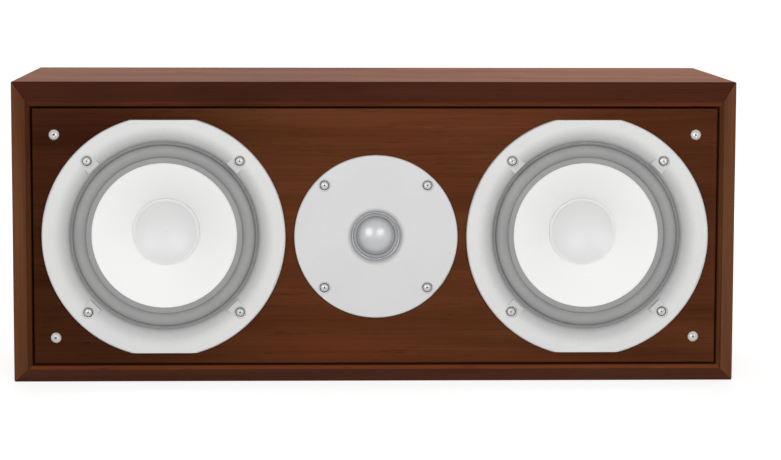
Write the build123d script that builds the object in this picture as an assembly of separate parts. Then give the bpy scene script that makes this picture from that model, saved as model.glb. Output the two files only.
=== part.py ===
from build123d import *
from math import cos, radians, sin, sqrt
import os

# Millimetres. X runs along the cabinet, +Y to the rear, +Z up, origin under the middle of the cabinet.

# Cabinet wrap
RIM_FLAT = 2.6
BEVEL_WIDTH = 12.0
BEVEL_DEPTH = 25.0
CABINET_DEPTH = 220.0
ARRIS = 1.0
REAR_THICKNESS = 15.0

# Front baffle and the frame that it is screwed to
REVEAL = 1.5
BAFFLE_THICKNESS = 18.0
BAFFLE_ARRIS = 0.8
SIDE_MARGIN = 5.7
TOP_MARGIN = 7.4
DRIVER_GAP = 5.7
BLOCK_SIZE = 30.0
BLOCK_LENGTH = 38.0
BATTEN_SIZE = 12.0
SEAL_WIDTH = 10.0
SEAL_THICKNESS = 1.5
CORNER_SCREW_INSET_X = 14.3
CORNER_SCREW_INSET_Z = 17.2

# Fits
FIT = 0.3
GLUE_LINE = 0.1
RUNNING = 0.08
HOLE_CLEARANCE = 0.4
PILOT_CLEARANCE = 0.1
CUTOUT_CLEARANCE = 0.5

# Screws: head, shank and length under the head
DRIVER_SCREW_HEAD = 6.4
DRIVER_SCREW_HEAD_HEIGHT = 2.0
DRIVER_SCREW_SHANK = 4.0
DRIVER_SCREW_LENGTH = 16.0
CORNER_SCREW_HEAD = 6.8
CORNER_SCREW_HEAD_HEIGHT = 2.4
CORNER_SCREW_SHANK = 4.4
CORNER_SCREW_LENGTH = 34.0
SMALL_SCREW_HEAD = 6.0
SMALL_SCREW_HEAD_HEIGHT = 2.0
SMALL_SCREW_SHANK = 3.0
SMALL_SCREW_LENGTH = 12.0
COUNTERBORE_RIM = 0.8

# Woofer surround and cone
CONE_RADIUS = 51.6
CONE_DEPTH = 32.0
CONE_FLARE = 3.0
CONE_WALL = 0.6
LIP_WIDTH = 3.3
ROLL_RADIUS = 4.0
FOOT_WIDTH = 1.6
SURROUND_WALL = 0.8
CAP_RADIUS = 22.0
CAP_DISH = 4.5
CAP_WALL = 0.7
CAP_RIM = 1.2

# Woofer coil and spider
FORMER_WALL = 0.3
FORMER_STAND = 1.5
WINDING_WALL = 1.0
WINDING_LENGTH = 13.0
SPIDER_DROP = 5.0
SPIDER_WALL = 0.5
SPIDER_COLLAR = 2.2
SPIDER_FOOT = 4.2
SPIDER_ROLLS = 4
SPIDER_ROLL_RADIUS = 1.9

# Woofer basket
FLANGE_PROUD = 4.0
FLANGE_ARRIS = 1.5
FLANGE_RIM = 7.5
FLANGE_FLATS = 153.0
THROAT_WIDTH = 10.5
THROAT_DEPTH = 9.6
SHELF_DROP = 0.4
SHELF_THICKNESS = 2.5
BOWL_WALL = 4.0
BOWL_DEPTH = 14.0
SCREW_OFFSET = 4.8
PAD_WIDTH = 9.6
PAD_REACH = 7.0
COUNTERBORE_DEPTH = 2.0
LEG_WIDTH = 24.0
WINDOW_MARGIN = 2.0
BACK_PLATE = 3.0
BACK_PLATE_RIM = 3.0
BACK_PLATE_DROP = 7.0
COIL_HOLE_MARGIN = 3.0
LEG_WALL = 3.0

# Woofer motor
POLE_RADIUS = 15.4
COIL_CLEARANCE = 0.6
VENT_RADIUS = 5.0
TOP_PLATE_RADIUS = 39.5
TOP_PLATE_THICKNESS = 5.0
MAGNET_RADIUS = 43.0
MAGNET_HOLE_MARGIN = 5.0
MAGNET_THICKNESS = 16.0
YOKE_RADIUS = 40.0
YOKE_THICKNESS = 5.0
YOKE_CHAMFER = 1.5

# Woofer tag strip and its flexible leads
TAG_DROP = 17.0
TAG_HEIGHT = 10.0
TAG_WALL = 1.6
TAG_INSET = 7.0
TAG_OVERHANG = 2.0
TAG_PAD_WIDTH = 16.0
BLADE_SPREAD = 8.0
BLADE_WIDTH = 4.8
BLADE_WALL = 0.8
BLADE_LENGTH = 16.0
BLADE_TAIL = 3.0
LEAD_RADIUS = 0.7
LEAD_CLEARANCE = 0.6
LEAD_SAG = 6.0

# Driver gaskets
GASKET_WIDTH = 1.8
GASKET_THICKNESS = 0.8

# Tweeter
PLATE_RADIUS = 53.5
PLATE_PROUD = 3.2
PLATE_ARRIS = 1.0
PLATE_SCREW_INSET = 5.85
MOUTH_MARGIN = 0.8
MOUTH_WIDTH = 3.6
MOUTH_DEPTH = 5.0
MOUTH_LAND = 1.0
HUB_MARGIN = 1.0
DOME_RADIUS = 12.5
DOME_HEIGHT = 4.5
DOME_WALL = 0.4
DOME_ROLL_RADIUS = 1.25
DOME_ROLL_WALL = 0.4
DOME_ROLL_FOOT = 4.6
DOME_FORMER_WALL = 0.2
DOME_WINDING_WALL = 0.5
DOME_WINDING_LENGTH = 3.0
DOME_WINDING_DROP = 0.7
DOME_COIL_CLEARANCE = 0.4
DOME_PLATE_RADIUS = 34.0
DOME_PLATE_THICKNESS = 4.0
DOME_MAGNET_RADIUS = 35.5
DOME_MAGNET_HOLE_MARGIN = 4.0
DOME_MAGNET_THICKNESS = 14.0
DOME_YOKE_RADIUS = 33.0
DOME_YOKE_THICKNESS = 5.0
DOME_YOKE_CHAMFER = 1.5
DOME_POLE_CHAMFER = 1.0

# Terminal cup and binding posts
CUP_WIDTH = 92.0
CUP_HEIGHT = 66.0
CUP_CORNER = 8.0
CUP_PLATE = 3.0
CUP_ARRIS = 1.0
CUP_SHOULDER = 9.0
CUP_DEPTH = 26.0
CUP_WALL = 2.2
CUP_FLOOR = 3.0
CUP_DRAFT = 5.0
CUP_SCREW_INSET = 6.5
POST_SPACING = 19.0
POST_COLLAR = 6.8
POST_COLLAR_HEIGHT = 2.0
POST_SHOULDER = 5.0
POST_SHOULDER_HEIGHT = 2.0
POST_RADIUS = 3.5
POST_FLAT = 0.5
POST_INSET = 3.5
POST_TAIL_RADIUS = 2.5
POST_TAIL = 12.0
SOCKET_RADIUS = 2.05
SOCKET_DEPTH = 14.5
WIRE_HOLE_RADIUS = 1.2
WIRE_HOLE_HEIGHT = 1.6
WASHER_RADIUS = 6.0
WASHER_THICKNESS = 1.6
POST_GAP = 0.1
KNOB_RADIUS = 6.4
KNOB_END = 2.0
KNOB_END_GAP = 0.6
KNOB_HOLE_MARGIN = 0.6
KNOB_ARRIS = 0.8
KNOB_FLUTES = 12
FLUTE_RADIUS = 0.9
FLUTE_DEPTH = 0.5
NUT_FLATS = 9.0
NUT_HEIGHT = 4.0

# Port
PORT_RADIUS = 24.0
PORT_WALL = 2.2
PORT_FLARE = 11.0
PORT_PROUD = 3.0
PORT_RIM = 3.0
PORT_ARRIS = 1.0
PORT_SLEEVE_WALL = 2.6
PORT_STANDOFF = 31.0
PORT_GAP = 12.0

# Crossover
BOARD_MARGIN = 12.0
BOARD_WIDTH = 80.0
BOARD_WALL = 1.6
BOARD_HOLE_INSET = 6.0
SPACER_RADIUS = 4.0
SPACER_HEIGHT = 6.0
COIL_RADIUS = 18.0
COIL_CORE = 7.0
COIL_HEIGHT = 16.0
COIL_CHEEK = 2.0
CAPACITOR_RADIUS = 6.5
CAPACITOR_LENGTH = 30.0
CAPACITOR_GAP = 3.0
RESISTOR_LENGTH = 26.0
RESISTOR_SIZE = 9.0
RESISTOR_GAP = 4.0
WIRE_RADIUS = 1.2
WIRE_BEND = 7.0

# Wadding pads on the side walls
WADDING_THICKNESS = 22.0
WADDING_DEPTH = 130.0
WADDING_INSET = 12.0
WADDING_ROUND = 6.0

# Woofer sizes that follow, radii first, then heights above the baffle's face
roll_radius = CONE_RADIUS + ROLL_RADIUS
roll_foot = roll_radius + ROLL_RADIUS
foot_radius = roll_foot + FOOT_WIDTH
throat_radius = foot_radius + FIT
throat_top = throat_radius + THROAT_WIDTH
flange_radius = throat_top + FLANGE_RIM
bowl_radius = throat_radius + BOWL_WALL
woofer_cutout = bowl_radius + CUTOUT_CLEARANCE
woofer_screw_circle = bowl_radius + SCREW_OFFSET
cone_edge = CONE_RADIUS - LIP_WIDTH
former_inner = POLE_RADIUS + COIL_CLEARANCE
former_outer = former_inner + FORMER_WALL
winding_outer = former_outer + WINDING_WALL
gap_radius = winding_outer + COIL_CLEARANCE
neck_radius = former_outer + GLUE_LINE
spider_start = neck_radius + SPIDER_COLLAR
spider_end = spider_start + SPIDER_ROLLS * 2 * SPIDER_ROLL_RADIUS
spider_radius = spider_end + SPIDER_FOOT
seat_radius = spider_radius + FIT + BACK_PLATE_RIM
coil_hole = winding_outer + COIL_HOLE_MARGIN
throat_height = FLANGE_PROUD - THROAT_DEPTH
shelf_height = throat_height - SHELF_DROP
neck_height = shelf_height - CONE_DEPTH
spider_height = neck_height - SPIDER_DROP
plate_height = spider_height - BACK_PLATE_DROP
motor_height = plate_height - BACK_PLATE
magnet_height = motor_height - TOP_PLATE_THICKNESS
yoke_height = magnet_height - MAGNET_THICKNESS
woofer_end = yoke_height - YOKE_THICKNESS
gap_height = motor_height - TOP_PLATE_THICKNESS / 2
tag_radius = bowl_radius - TAG_INSET
tag_height = -BOWL_DEPTH - TAG_DROP
lead_spread = LEG_WIDTH / 2 + LEAD_RADIUS + LEAD_CLEARANCE
tag_width = 2 * (lead_spread + LEAD_RADIUS + TAG_OVERHANG)
blade_radius = tag_radius + TAG_WALL + BLADE_WALL / 2
blade_end = tag_height + BLADE_TAIL - BLADE_LENGTH

# Tweeter sizes that follow
dome_roll_radius = DOME_RADIUS + DOME_ROLL_RADIUS
dome_roll_foot = dome_roll_radius + DOME_ROLL_RADIUS
dome_foot = dome_roll_foot + DOME_ROLL_FOOT
mouth_radius = dome_roll_foot + MOUTH_MARGIN
mouth_height = PLATE_PROUD - MOUTH_DEPTH
land_height = mouth_height - MOUTH_LAND
dome_motor_height = land_height - DOME_ROLL_WALL
dome_magnet_height = dome_motor_height - DOME_PLATE_THICKNESS
dome_yoke_height = dome_magnet_height - DOME_MAGNET_THICKNESS
tweeter_end = dome_yoke_height - DOME_YOKE_THICKNESS
hub_radius = max(DOME_MAGNET_RADIUS, DOME_PLATE_RADIUS) + HUB_MARGIN
tweeter_cutout = hub_radius + CUTOUT_CLEARANCE
tweeter_screw_circle = PLATE_RADIUS - PLATE_SCREW_INSET
dome_former_outer = DOME_RADIUS - GLUE_LINE
dome_former_inner = dome_former_outer - DOME_FORMER_WALL
dome_winding_outer = dome_former_outer + DOME_WINDING_WALL
dome_gap_radius = dome_winding_outer + DOME_COIL_CLEARANCE
dome_pole = dome_former_inner - DOME_COIL_CLEARANCE
dome_base = dome_motor_height + DOME_ROLL_WALL / 2

# Cabinet sizes that follow from the drivers
WALL = RIM_FLAT + BEVEL_WIDTH
baffle_length = 2 * (SIDE_MARGIN + 2 * flange_radius + DRIVER_GAP + PLATE_RADIUS)
baffle_height = FLANGE_FLATS + 2 * TOP_MARGIN
inner_length = baffle_length + 2 * REVEAL
inner_height = baffle_height + 2 * REVEAL
cabinet_length = inner_length + 2 * WALL
cabinet_height = inner_height + 2 * WALL
woofer_x = PLATE_RADIUS + DRIVER_GAP + flange_radius
axis_z = cabinet_height / 2
front_y = -CABINET_DEPTH / 2
rear_y = CABINET_DEPTH / 2
baffle_back = front_y + BAFFLE_THICKNESS
frame_y = baffle_back + SEAL_THICKNESS
rear_inside = rear_y - REAR_THICKNESS
corner_screw_x = baffle_length / 2 - CORNER_SCREW_INSET_X
corner_screw_z = baffle_height / 2 - CORNER_SCREW_INSET_Z

# Terminal cup, post, port and crossover sizes that follow
cup_mouth_width = CUP_WIDTH - 2 * CUP_SHOULDER
cup_mouth_height = CUP_HEIGHT - 2 * CUP_SHOULDER
cup_floor = CUP_PLATE - CUP_DEPTH
cup_back = cup_floor - CUP_FLOOR
collar_top = cup_floor + POST_COLLAR_HEIGHT
shoulder_top = collar_top + POST_SHOULDER_HEIGHT
post_end = CUP_PLATE - POST_INSET
tail_end = cup_back - POST_TAIL
washer_base = shoulder_top + POST_GAP
knob_base = washer_base + WASHER_THICKNESS + POST_GAP
knob_inside = post_end + KNOB_END_GAP
post_bore = POST_RADIUS + RUNNING
sleeve_radius = PORT_RADIUS + PORT_WALL + PORT_SLEEVE_WALL
port_mouth = PORT_RADIUS + PORT_FLARE
port_flange = port_mouth + PORT_RIM
port_length = CABINET_DEPTH + woofer_end - PORT_STANDOFF
port_x = CUP_WIDTH / 2 + PORT_GAP + port_flange
coil_x = 2 * CAPACITOR_RADIUS + 1.5 * CAPACITOR_GAP + COIL_RADIUS
board_length = 2 * (coil_x + COIL_RADIUS + BOARD_MARGIN)
board_base = WALL + SPACER_HEIGHT
board_top = board_base + BOARD_WALL


# Shape helpers
def lathe(outline):
    return revolve(Plane.XZ * make_face(outline), Axis.Z)


def ring(inner, outer, low, high):
    return Pos(0, 0, low) * extrude(Circle(outer) - Circle(inner), high - low)


def disc(radius, low, high):
    return Pos(0, 0, low) * extrude(Circle(radius), high - low)


def half_ring(centre, height, radius, wall, upward):
    band = Pos(centre, height) * (Circle(radius + wall / 2) - Circle(radius - wall / 2))
    side = 1 if upward else -1
    keep = Pos(centre, height + side * radius) * Rectangle(4 * radius, 2 * radius)
    return band & keep


def dome_arc(radius, base, rise):
    bend = (radius * radius + rise * rise) / (2 * abs(rise))
    side = 1 if rise > 0 else -1
    centre = base + rise - side * bend
    middle = (radius / 2, centre + side * sqrt(bend * bend - radius * radius / 4))
    return ThreePointArc((radius, base), middle, (0, base + rise))


def strip(inner, outer, low, high):
    return Pos((inner + outer) / 2, (low + high) / 2) * Rectangle(outer - inner, high - low)


def turned(sketch):
    return revolve(Plane.XZ * sketch, Axis.Z)


def around(count, start):
    return [Rot(0, 0, start + turn * 360 / count) for turn in range(count)]


def group(solids):
    return Compound(children=list(solids))


def tube(points, radius, bend):
    path = FilletPolyline(*points, radius=bend)
    return sweep(path.location_at(0) * Circle(radius), path=path)


def pan_screw(head, height, shank, length):
    dome = dome_arc(head / 2, height * 0.35, height * 0.65)
    sides = Polyline((0, height), (0, -length), (shank / 2, shank - length), (shank / 2, 0), (head / 2, 0),
                     (head / 2, height * 0.35))
    slot = Box(head * 0.56, head * 0.13, height * 1.2)
    cross = Pos(0, 0, height) * (slot + Rot(0, 0, 90) * slot)
    return lathe(sides + dome) - cross


# Where things stand: out of the baffle, out of the rear panel
def on_baffle(x, turn=0):
    return Plane((x, front_y, axis_z), x_dir=(1, 0, 0), z_dir=(0, -1, 0)).location * Rot(0, 0, turn)


def on_rear(x):
    return Plane((x, rear_y, axis_z), x_dir=(-1, 0, 0), z_dir=(0, 1, 0)).location


# Woofer, drawn about its own axis with the baffle's face at height 0
def cone_curve(drop):
    start = (neck_radius, neck_height - drop)
    end = (cone_edge, shelf_height - drop)
    return SagittaArc(start, end, CONE_FLARE)


def cone_height(radius):
    run = cone_edge - neck_radius
    chord = sqrt(run * run + CONE_DEPTH * CONE_DEPTH)
    bend = (chord * chord / 4 + CONE_FLARE * CONE_FLARE) / (2 * CONE_FLARE)
    back = bend - CONE_FLARE
    centre_r = (cone_edge + neck_radius) / 2 + back * CONE_DEPTH / chord
    centre_h = (shelf_height + neck_height) / 2 - back * run / chord
    return centre_h + sqrt(bend * bend - (radius - centre_r) ** 2)


def woofer_cone():
    drop = CONE_WALL * sqrt(2)
    rim = Polyline((cone_edge, shelf_height), (CONE_RADIUS, shelf_height), (CONE_RADIUS, shelf_height - drop),
                   (cone_edge, shelf_height - drop))
    neck = Line((neck_radius, neck_height), (neck_radius, neck_height - drop))
    return lathe(cone_curve(0) + rim + cone_curve(drop) + neck)


def dust_cap():
    base = cone_height(CAP_RADIUS) + GLUE_LINE
    top = base + CAP_WALL
    dish = CAP_RADIUS - CAP_RIM
    upper = dome_arc(dish, top, -CAP_DISH)
    lower = dome_arc(dish, base, -CAP_DISH)
    rim = Polyline((dish, top), (CAP_RADIUS, top), (CAP_RADIUS, base), (dish, base))
    middle = Line((0, top - CAP_DISH), (0, base - CAP_DISH))
    return lathe(upper + rim + lower + middle)


def woofer_surround():
    low = shelf_height
    high = shelf_height + SURROUND_WALL
    roll = half_ring(roll_radius, low + SURROUND_WALL / 2, ROLL_RADIUS, SURROUND_WALL, True)
    lip = strip(cone_edge, CONE_RADIUS + SURROUND_WALL / 2, low, high)
    foot = strip(roll_foot - SURROUND_WALL / 2, foot_radius, low, high)
    return turned(roll + lip + foot)


def woofer_coil():
    bottom = gap_height - WINDING_LENGTH / 2
    former = ring(former_inner, former_outer, bottom, neck_height + FORMER_STAND)
    winding = ring(former_inner, winding_outer, bottom, gap_height + WINDING_LENGTH / 2)
    return former + winding


def woofer_spider():
    low = spider_height
    high = spider_height + SPIDER_WALL
    profile = strip(neck_radius, spider_start + SPIDER_WALL / 2, low, high)
    profile += strip(spider_end - SPIDER_WALL / 2, spider_radius, low, high)
    for roll in range(SPIDER_ROLLS):
        centre = spider_start + (2 * roll + 1) * SPIDER_ROLL_RADIUS
        profile += half_ring(centre, (low + high) / 2, SPIDER_ROLL_RADIUS, SPIDER_WALL, roll % 2 == 0)
    return turned(profile)


def basket_casting():
    throat = EllipticalCenterArc((throat_top, throat_height), THROAT_WIDTH, THROAT_DEPTH,
                                 start_angle=90, arc_size=90)
    edge = JernArc((flange_radius - FLANGE_ARRIS, FLANGE_PROUD), (1, 0), FLANGE_ARRIS, -90)
    shelf = roll_foot - SURROUND_WALL
    spider_seat = spider_end + SPIDER_WALL
    spider_wall = spider_radius + FIT
    face = Line((throat_top, FLANGE_PROUD), (flange_radius - FLANGE_ARRIS, FLANGE_PROUD))
    outside = Polyline((flange_radius, FLANGE_PROUD - FLANGE_ARRIS), (flange_radius, 0), (bowl_radius, 0),
                       (bowl_radius, -BOWL_DEPTH), (seat_radius, plate_height + LEG_WALL),
                       (seat_radius, motor_height), (coil_hole, motor_height))
    inside = Polyline((coil_hole, motor_height), (coil_hole, plate_height), (spider_seat, plate_height),
                      (spider_seat, spider_height), (spider_wall, spider_height),
                      (spider_wall, spider_height + LEG_WALL), (bowl_radius - BOWL_WALL, -BOWL_DEPTH),
                      (shelf, shelf_height - SHELF_THICKNESS), (shelf, shelf_height),
                      (throat_radius, shelf_height), (throat_radius, throat_height))
    return lathe(throat + face + edge + outside + inside)


def basket_windows():
    low = spider_height + LEG_WALL + WINDOW_MARGIN
    high = -BOWL_DEPTH - WINDOW_MARGIN
    legs = Box(4 * bowl_radius, LEG_WIDTH, 4 * CONE_DEPTH)
    return disc(bowl_radius + 1, low, high) - Rot(0, 0, 45) * legs - Rot(0, 0, 135) * legs


def woofer_basket():
    body = basket_casting() - basket_windows()
    pad_inner = woofer_screw_circle - PAD_REACH
    pad_floor = throat_height
    pad_size = (throat_top - pad_inner, PAD_WIDTH, FLANGE_PROUD - pad_floor)
    pad = Pos((throat_top + pad_inner) / 2, 0, (FLANGE_PROUD + pad_floor) / 2) * Box(*pad_size)
    pad &= ring(pad_inner, throat_top, pad_floor, FLANGE_PROUD) - ring(bowl_radius, throat_top, pad_floor, 0)
    tag_size = (tag_radius - seat_radius, TAG_PAD_WIDTH, TAG_HEIGHT)
    tag_pad = Pos((tag_radius + seat_radius) / 2, 0, tag_height) * Box(*tag_size)
    tag_pad -= revolve(Plane.XZ * make_face(Polyline((0, spider_height + LEG_WALL),
                                                     (spider_radius + FIT, spider_height + LEG_WALL),
                                                     (bowl_radius - BOWL_WALL, -BOWL_DEPTH),
                                                     (0, -BOWL_DEPTH), close=True)), Axis.Z)
    body += [turn * pad for turn in around(4, 45)]
    body += Rot(0, 0, -45) * tag_pad
    bore = Pos(woofer_screw_circle, 0, FLANGE_PROUD - COUNTERBORE_DEPTH) * Cylinder(
        DRIVER_SCREW_HEAD / 2 + COUNTERBORE_RIM, 2 * COUNTERBORE_DEPTH,
        align=(Align.CENTER, Align.CENTER, Align.MIN))
    hole = Pos(woofer_screw_circle, 0, 0) * Cylinder(
        DRIVER_SCREW_SHANK / 2 + HOLE_CLEARANCE, 2 * FLANGE_PROUD)
    body -= [turn * bore for turn in around(4, 45)]
    body -= [turn * hole for turn in around(4, 45)]
    groove = woofer_cutout + FIT - GLUE_LINE
    body -= ring(groove, groove + GASKET_WIDTH + 2 * GLUE_LINE, 0, GASKET_THICKNESS)
    flats = Box(4 * flange_radius, flange_radius, 4 * FLANGE_PROUD)
    body -= [Pos(0, side * (FLANGE_FLATS / 2 + flange_radius / 2), 0) * flats for side in (1, -1)]
    return body


def woofer_top_plate():
    return ring(gap_radius, TOP_PLATE_RADIUS, magnet_height, motor_height)


def woofer_magnet():
    return ring(gap_radius + MAGNET_HOLE_MARGIN, MAGNET_RADIUS, yoke_height, magnet_height)


def woofer_yoke():
    back = Polyline((VENT_RADIUS, woofer_end), (YOKE_RADIUS - YOKE_CHAMFER, woofer_end),
                    (YOKE_RADIUS, woofer_end + YOKE_CHAMFER), (YOKE_RADIUS, yoke_height),
                    (POLE_RADIUS, yoke_height), (POLE_RADIUS, motor_height), (VENT_RADIUS, motor_height),
                    close=True)
    return lathe(back)


def woofer_tags():
    board = Pos(tag_radius + TAG_WALL / 2, 0, tag_height) * Box(TAG_WALL, tag_width, TAG_HEIGHT)
    blade = Pos(blade_radius, 0, blade_end + BLADE_LENGTH / 2) * Box(BLADE_WALL, BLADE_WIDTH, BLADE_LENGTH)
    blades = [Pos(0, side * BLADE_SPREAD, 0) * blade for side in (1, -1)]
    return Rot(0, 0, -45) * (board + blades)


def woofer_leads():
    land = cone_curve(CONE_WALL * sqrt(2)) @ 0.55
    land_x = sqrt(land.X ** 2 - lead_spread ** 2)
    land_h = land.Y - FIT - LEAD_RADIUS
    solids = []
    for side in (1, -1):
        y = side * lead_spread
        low = tag_height - LEAD_SAG
        points = [(tag_radius, y, tag_height), (tag_radius - LEAD_SAG, y, tag_height),
                  (tag_radius - 2 * LEAD_SAG, y, low), (land_x + LEAD_SAG / 2, y, low),
                  (land_x, y, land_h)]
        solids.append(Rot(0, 0, -45) * tube(points, LEAD_RADIUS, LEAD_SAG / 3))
    return group(solids)


def gasket(cutout):
    return ring(cutout + FIT, cutout + FIT + GASKET_WIDTH, 0, GASKET_THICKNESS)


# Tweeter, drawn the same way
def tweeter_faceplate():
    mouth = EllipticalCenterArc((mouth_radius + MOUTH_WIDTH, mouth_height), MOUTH_WIDTH, MOUTH_DEPTH,
                                start_angle=90, arc_size=90)
    edge = JernArc((PLATE_RADIUS - PLATE_ARRIS, PLATE_PROUD), (1, 0), PLATE_ARRIS, -90)
    face = Line((mouth_radius + MOUTH_WIDTH, PLATE_PROUD), (PLATE_RADIUS - PLATE_ARRIS, PLATE_PROUD))
    pocket = dome_foot + GLUE_LINE
    rest = Polyline((PLATE_RADIUS, PLATE_PROUD - PLATE_ARRIS), (PLATE_RADIUS, 0), (hub_radius, 0),
                    (hub_radius, dome_motor_height), (pocket, dome_motor_height), (pocket, land_height),
                    (mouth_radius, land_height), (mouth_radius, mouth_height))
    plate = lathe(mouth + face + edge + rest)
    bore = Pos(tweeter_screw_circle, 0, PLATE_PROUD - COUNTERBORE_DEPTH) * Cylinder(
        DRIVER_SCREW_HEAD / 2 + COUNTERBORE_RIM, 2 * COUNTERBORE_DEPTH,
        align=(Align.CENTER, Align.CENTER, Align.MIN))
    hole = Pos(tweeter_screw_circle, 0, 0) * Cylinder(
        DRIVER_SCREW_SHANK / 2 + HOLE_CLEARANCE, 3 * PLATE_PROUD)
    plate -= [turn * bore for turn in around(4, 45)]
    plate -= [turn * hole for turn in around(4, 45)]
    groove = tweeter_cutout + FIT - GLUE_LINE
    return plate - ring(groove, groove + GASKET_WIDTH + 2 * GLUE_LINE, 0, GASKET_THICKNESS)


def tweeter_dome():
    bend = (DOME_RADIUS ** 2 + DOME_HEIGHT ** 2) / (2 * DOME_HEIGHT)
    centre = dome_base + DOME_HEIGHT - bend
    shell = Pos(0, 0, centre) * (Sphere(bend) - Sphere(bend - DOME_WALL))
    return shell & disc(DOME_RADIUS - GLUE_LINE, dome_base, dome_base + 2 * DOME_HEIGHT)


def tweeter_surround():
    low = dome_motor_height
    high = land_height
    roll = half_ring(dome_roll_radius, (low + high) / 2, DOME_ROLL_RADIUS - DOME_ROLL_WALL / 2,
                     DOME_ROLL_WALL, True)
    foot = strip(dome_roll_foot - DOME_ROLL_WALL, dome_foot, low, high)
    return turned(roll + foot)


def tweeter_coil():
    top = dome_motor_height - DOME_WINDING_DROP
    former = ring(dome_former_inner, dome_former_outer, top - DOME_WINDING_LENGTH, dome_base)
    return former + ring(dome_former_inner, dome_winding_outer, top - DOME_WINDING_LENGTH, top)


def tweeter_top_plate():
    return ring(dome_gap_radius, DOME_PLATE_RADIUS, dome_magnet_height, dome_motor_height)


def tweeter_magnet():
    hole = dome_gap_radius + DOME_MAGNET_HOLE_MARGIN
    return ring(hole, DOME_MAGNET_RADIUS, dome_yoke_height, dome_magnet_height)


def tweeter_yoke():
    back = Polyline((0, tweeter_end), (DOME_YOKE_RADIUS - DOME_YOKE_CHAMFER, tweeter_end),
                    (DOME_YOKE_RADIUS, tweeter_end + DOME_YOKE_CHAMFER), (DOME_YOKE_RADIUS, dome_yoke_height),
                    (dome_pole, dome_yoke_height), (dome_pole, dome_motor_height - DOME_POLE_CHAMFER),
                    (dome_pole - DOME_POLE_CHAMFER, dome_motor_height), (0, dome_motor_height), close=True)
    return lathe(back)


def tweeter_tags():
    board = Pos(0, 0, tweeter_end - TAG_WALL / 2) * Box(tag_width, TAG_HEIGHT, TAG_WALL)
    blade = Pos(0, BLADE_TAIL - BLADE_LENGTH / 2, tweeter_end - TAG_WALL - BLADE_WALL / 2) * Box(
        BLADE_WIDTH, BLADE_LENGTH, BLADE_WALL)
    return board + [Pos(side * BLADE_SPREAD, 0, 0) * blade for side in (1, -1)]


# Screws at each driver, in the driver's own place
def driver_screws(circle, proud):
    screw = pan_screw(DRIVER_SCREW_HEAD, DRIVER_SCREW_HEAD_HEIGHT, DRIVER_SCREW_SHANK, DRIVER_SCREW_LENGTH)
    seat = Pos(circle, 0, proud - COUNTERBORE_DEPTH)
    return [turn * seat * screw for turn in around(4, 45)]


def driver_pilots(circle, proud):
    depth = DRIVER_SCREW_LENGTH + COUNTERBORE_DEPTH - proud + PILOT_CLEARANCE
    hole = Cylinder(DRIVER_SCREW_SHANK / 2 + PILOT_CLEARANCE, depth, align=(Align.CENTER, Align.CENTER, Align.MAX))
    return [turn * Pos(circle, 0, 0) * hole for turn in around(4, 45)]


# Cabinet
def cabinet_wrap():
    shell = Pos(0, 0, axis_z) * Box(cabinet_length, CABINET_DEPTH, cabinet_height)
    front = shell.faces().sort_by(Axis.Y)[0]
    shell = chamfer(front.edges(), BEVEL_WIDTH, BEVEL_DEPTH, reference=front)
    front = shell.faces().sort_by(Axis.Y)[0]
    sharp = [edge for edge in shell.edges() if edge.center().Y > front.center().Y + ARRIS]
    shell = fillet(sharp, ARRIS)
    return shell - Pos(0, 0, axis_z) * Box(inner_length, 2 * CABINET_DEPTH, inner_height)


def wrap_panels():
    wrap = cabinet_wrap()
    half = cabinet_length / 2
    low = Polyline((-half, 0), (half, 0), (half - axis_z, axis_z), (axis_z - half, axis_z), close=True)
    high = Polyline((-half, cabinet_height), (half, cabinet_height), (half - axis_z, axis_z),
                    (axis_z - half, axis_z), close=True)
    left = Polyline((-half, 0), (axis_z - half, axis_z), (-half, cabinet_height), close=True)
    right = Polyline((half, 0), (half - axis_z, axis_z), (half, cabinet_height), close=True)
    cutters = [extrude(Plane.XZ * make_face(line), CABINET_DEPTH, both=True) for line in (high, low, left, right)]
    bottom = wrap & cutters[1]
    pilot = Cylinder(SMALL_SCREW_SHANK / 2 + PILOT_CLEARANCE, 2 * (SMALL_SCREW_LENGTH - SPACER_HEIGHT))
    bottom -= [Pos(x, y, WALL) * pilot for x, y in board_holes()]
    return wrap & cutters[0], bottom, wrap & cutters[2], wrap & cutters[3]


def front_baffle():
    panel = Pos(0, front_y + BAFFLE_THICKNESS / 2, axis_z) * Box(baffle_length, BAFFLE_THICKNESS, baffle_height)
    front = panel.faces().sort_by(Axis.Y)[0]
    panel = fillet(front.edges(), BAFFLE_ARRIS)
    deep = 3 * BAFFLE_THICKNESS
    for x in (-woofer_x, woofer_x):
        panel -= on_baffle(x) * Cylinder(woofer_cutout, deep)
        panel -= [on_baffle(x) * hole for hole in driver_pilots(woofer_screw_circle, FLANGE_PROUD)]
    panel -= on_baffle(0) * Cylinder(tweeter_cutout, deep)
    panel -= [on_baffle(0) * hole for hole in driver_pilots(tweeter_screw_circle, PLATE_PROUD)]
    hole = Cylinder(CORNER_SCREW_SHANK / 2 + PILOT_CLEARANCE, deep)
    return panel - [on_baffle(0) * Pos(x, z, 0) * hole for x, z in corner_screws()]


def corner_screws():
    return [(x * corner_screw_x, z * corner_screw_z) for x in (-1, 1) for z in (-1, 1)]


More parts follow.
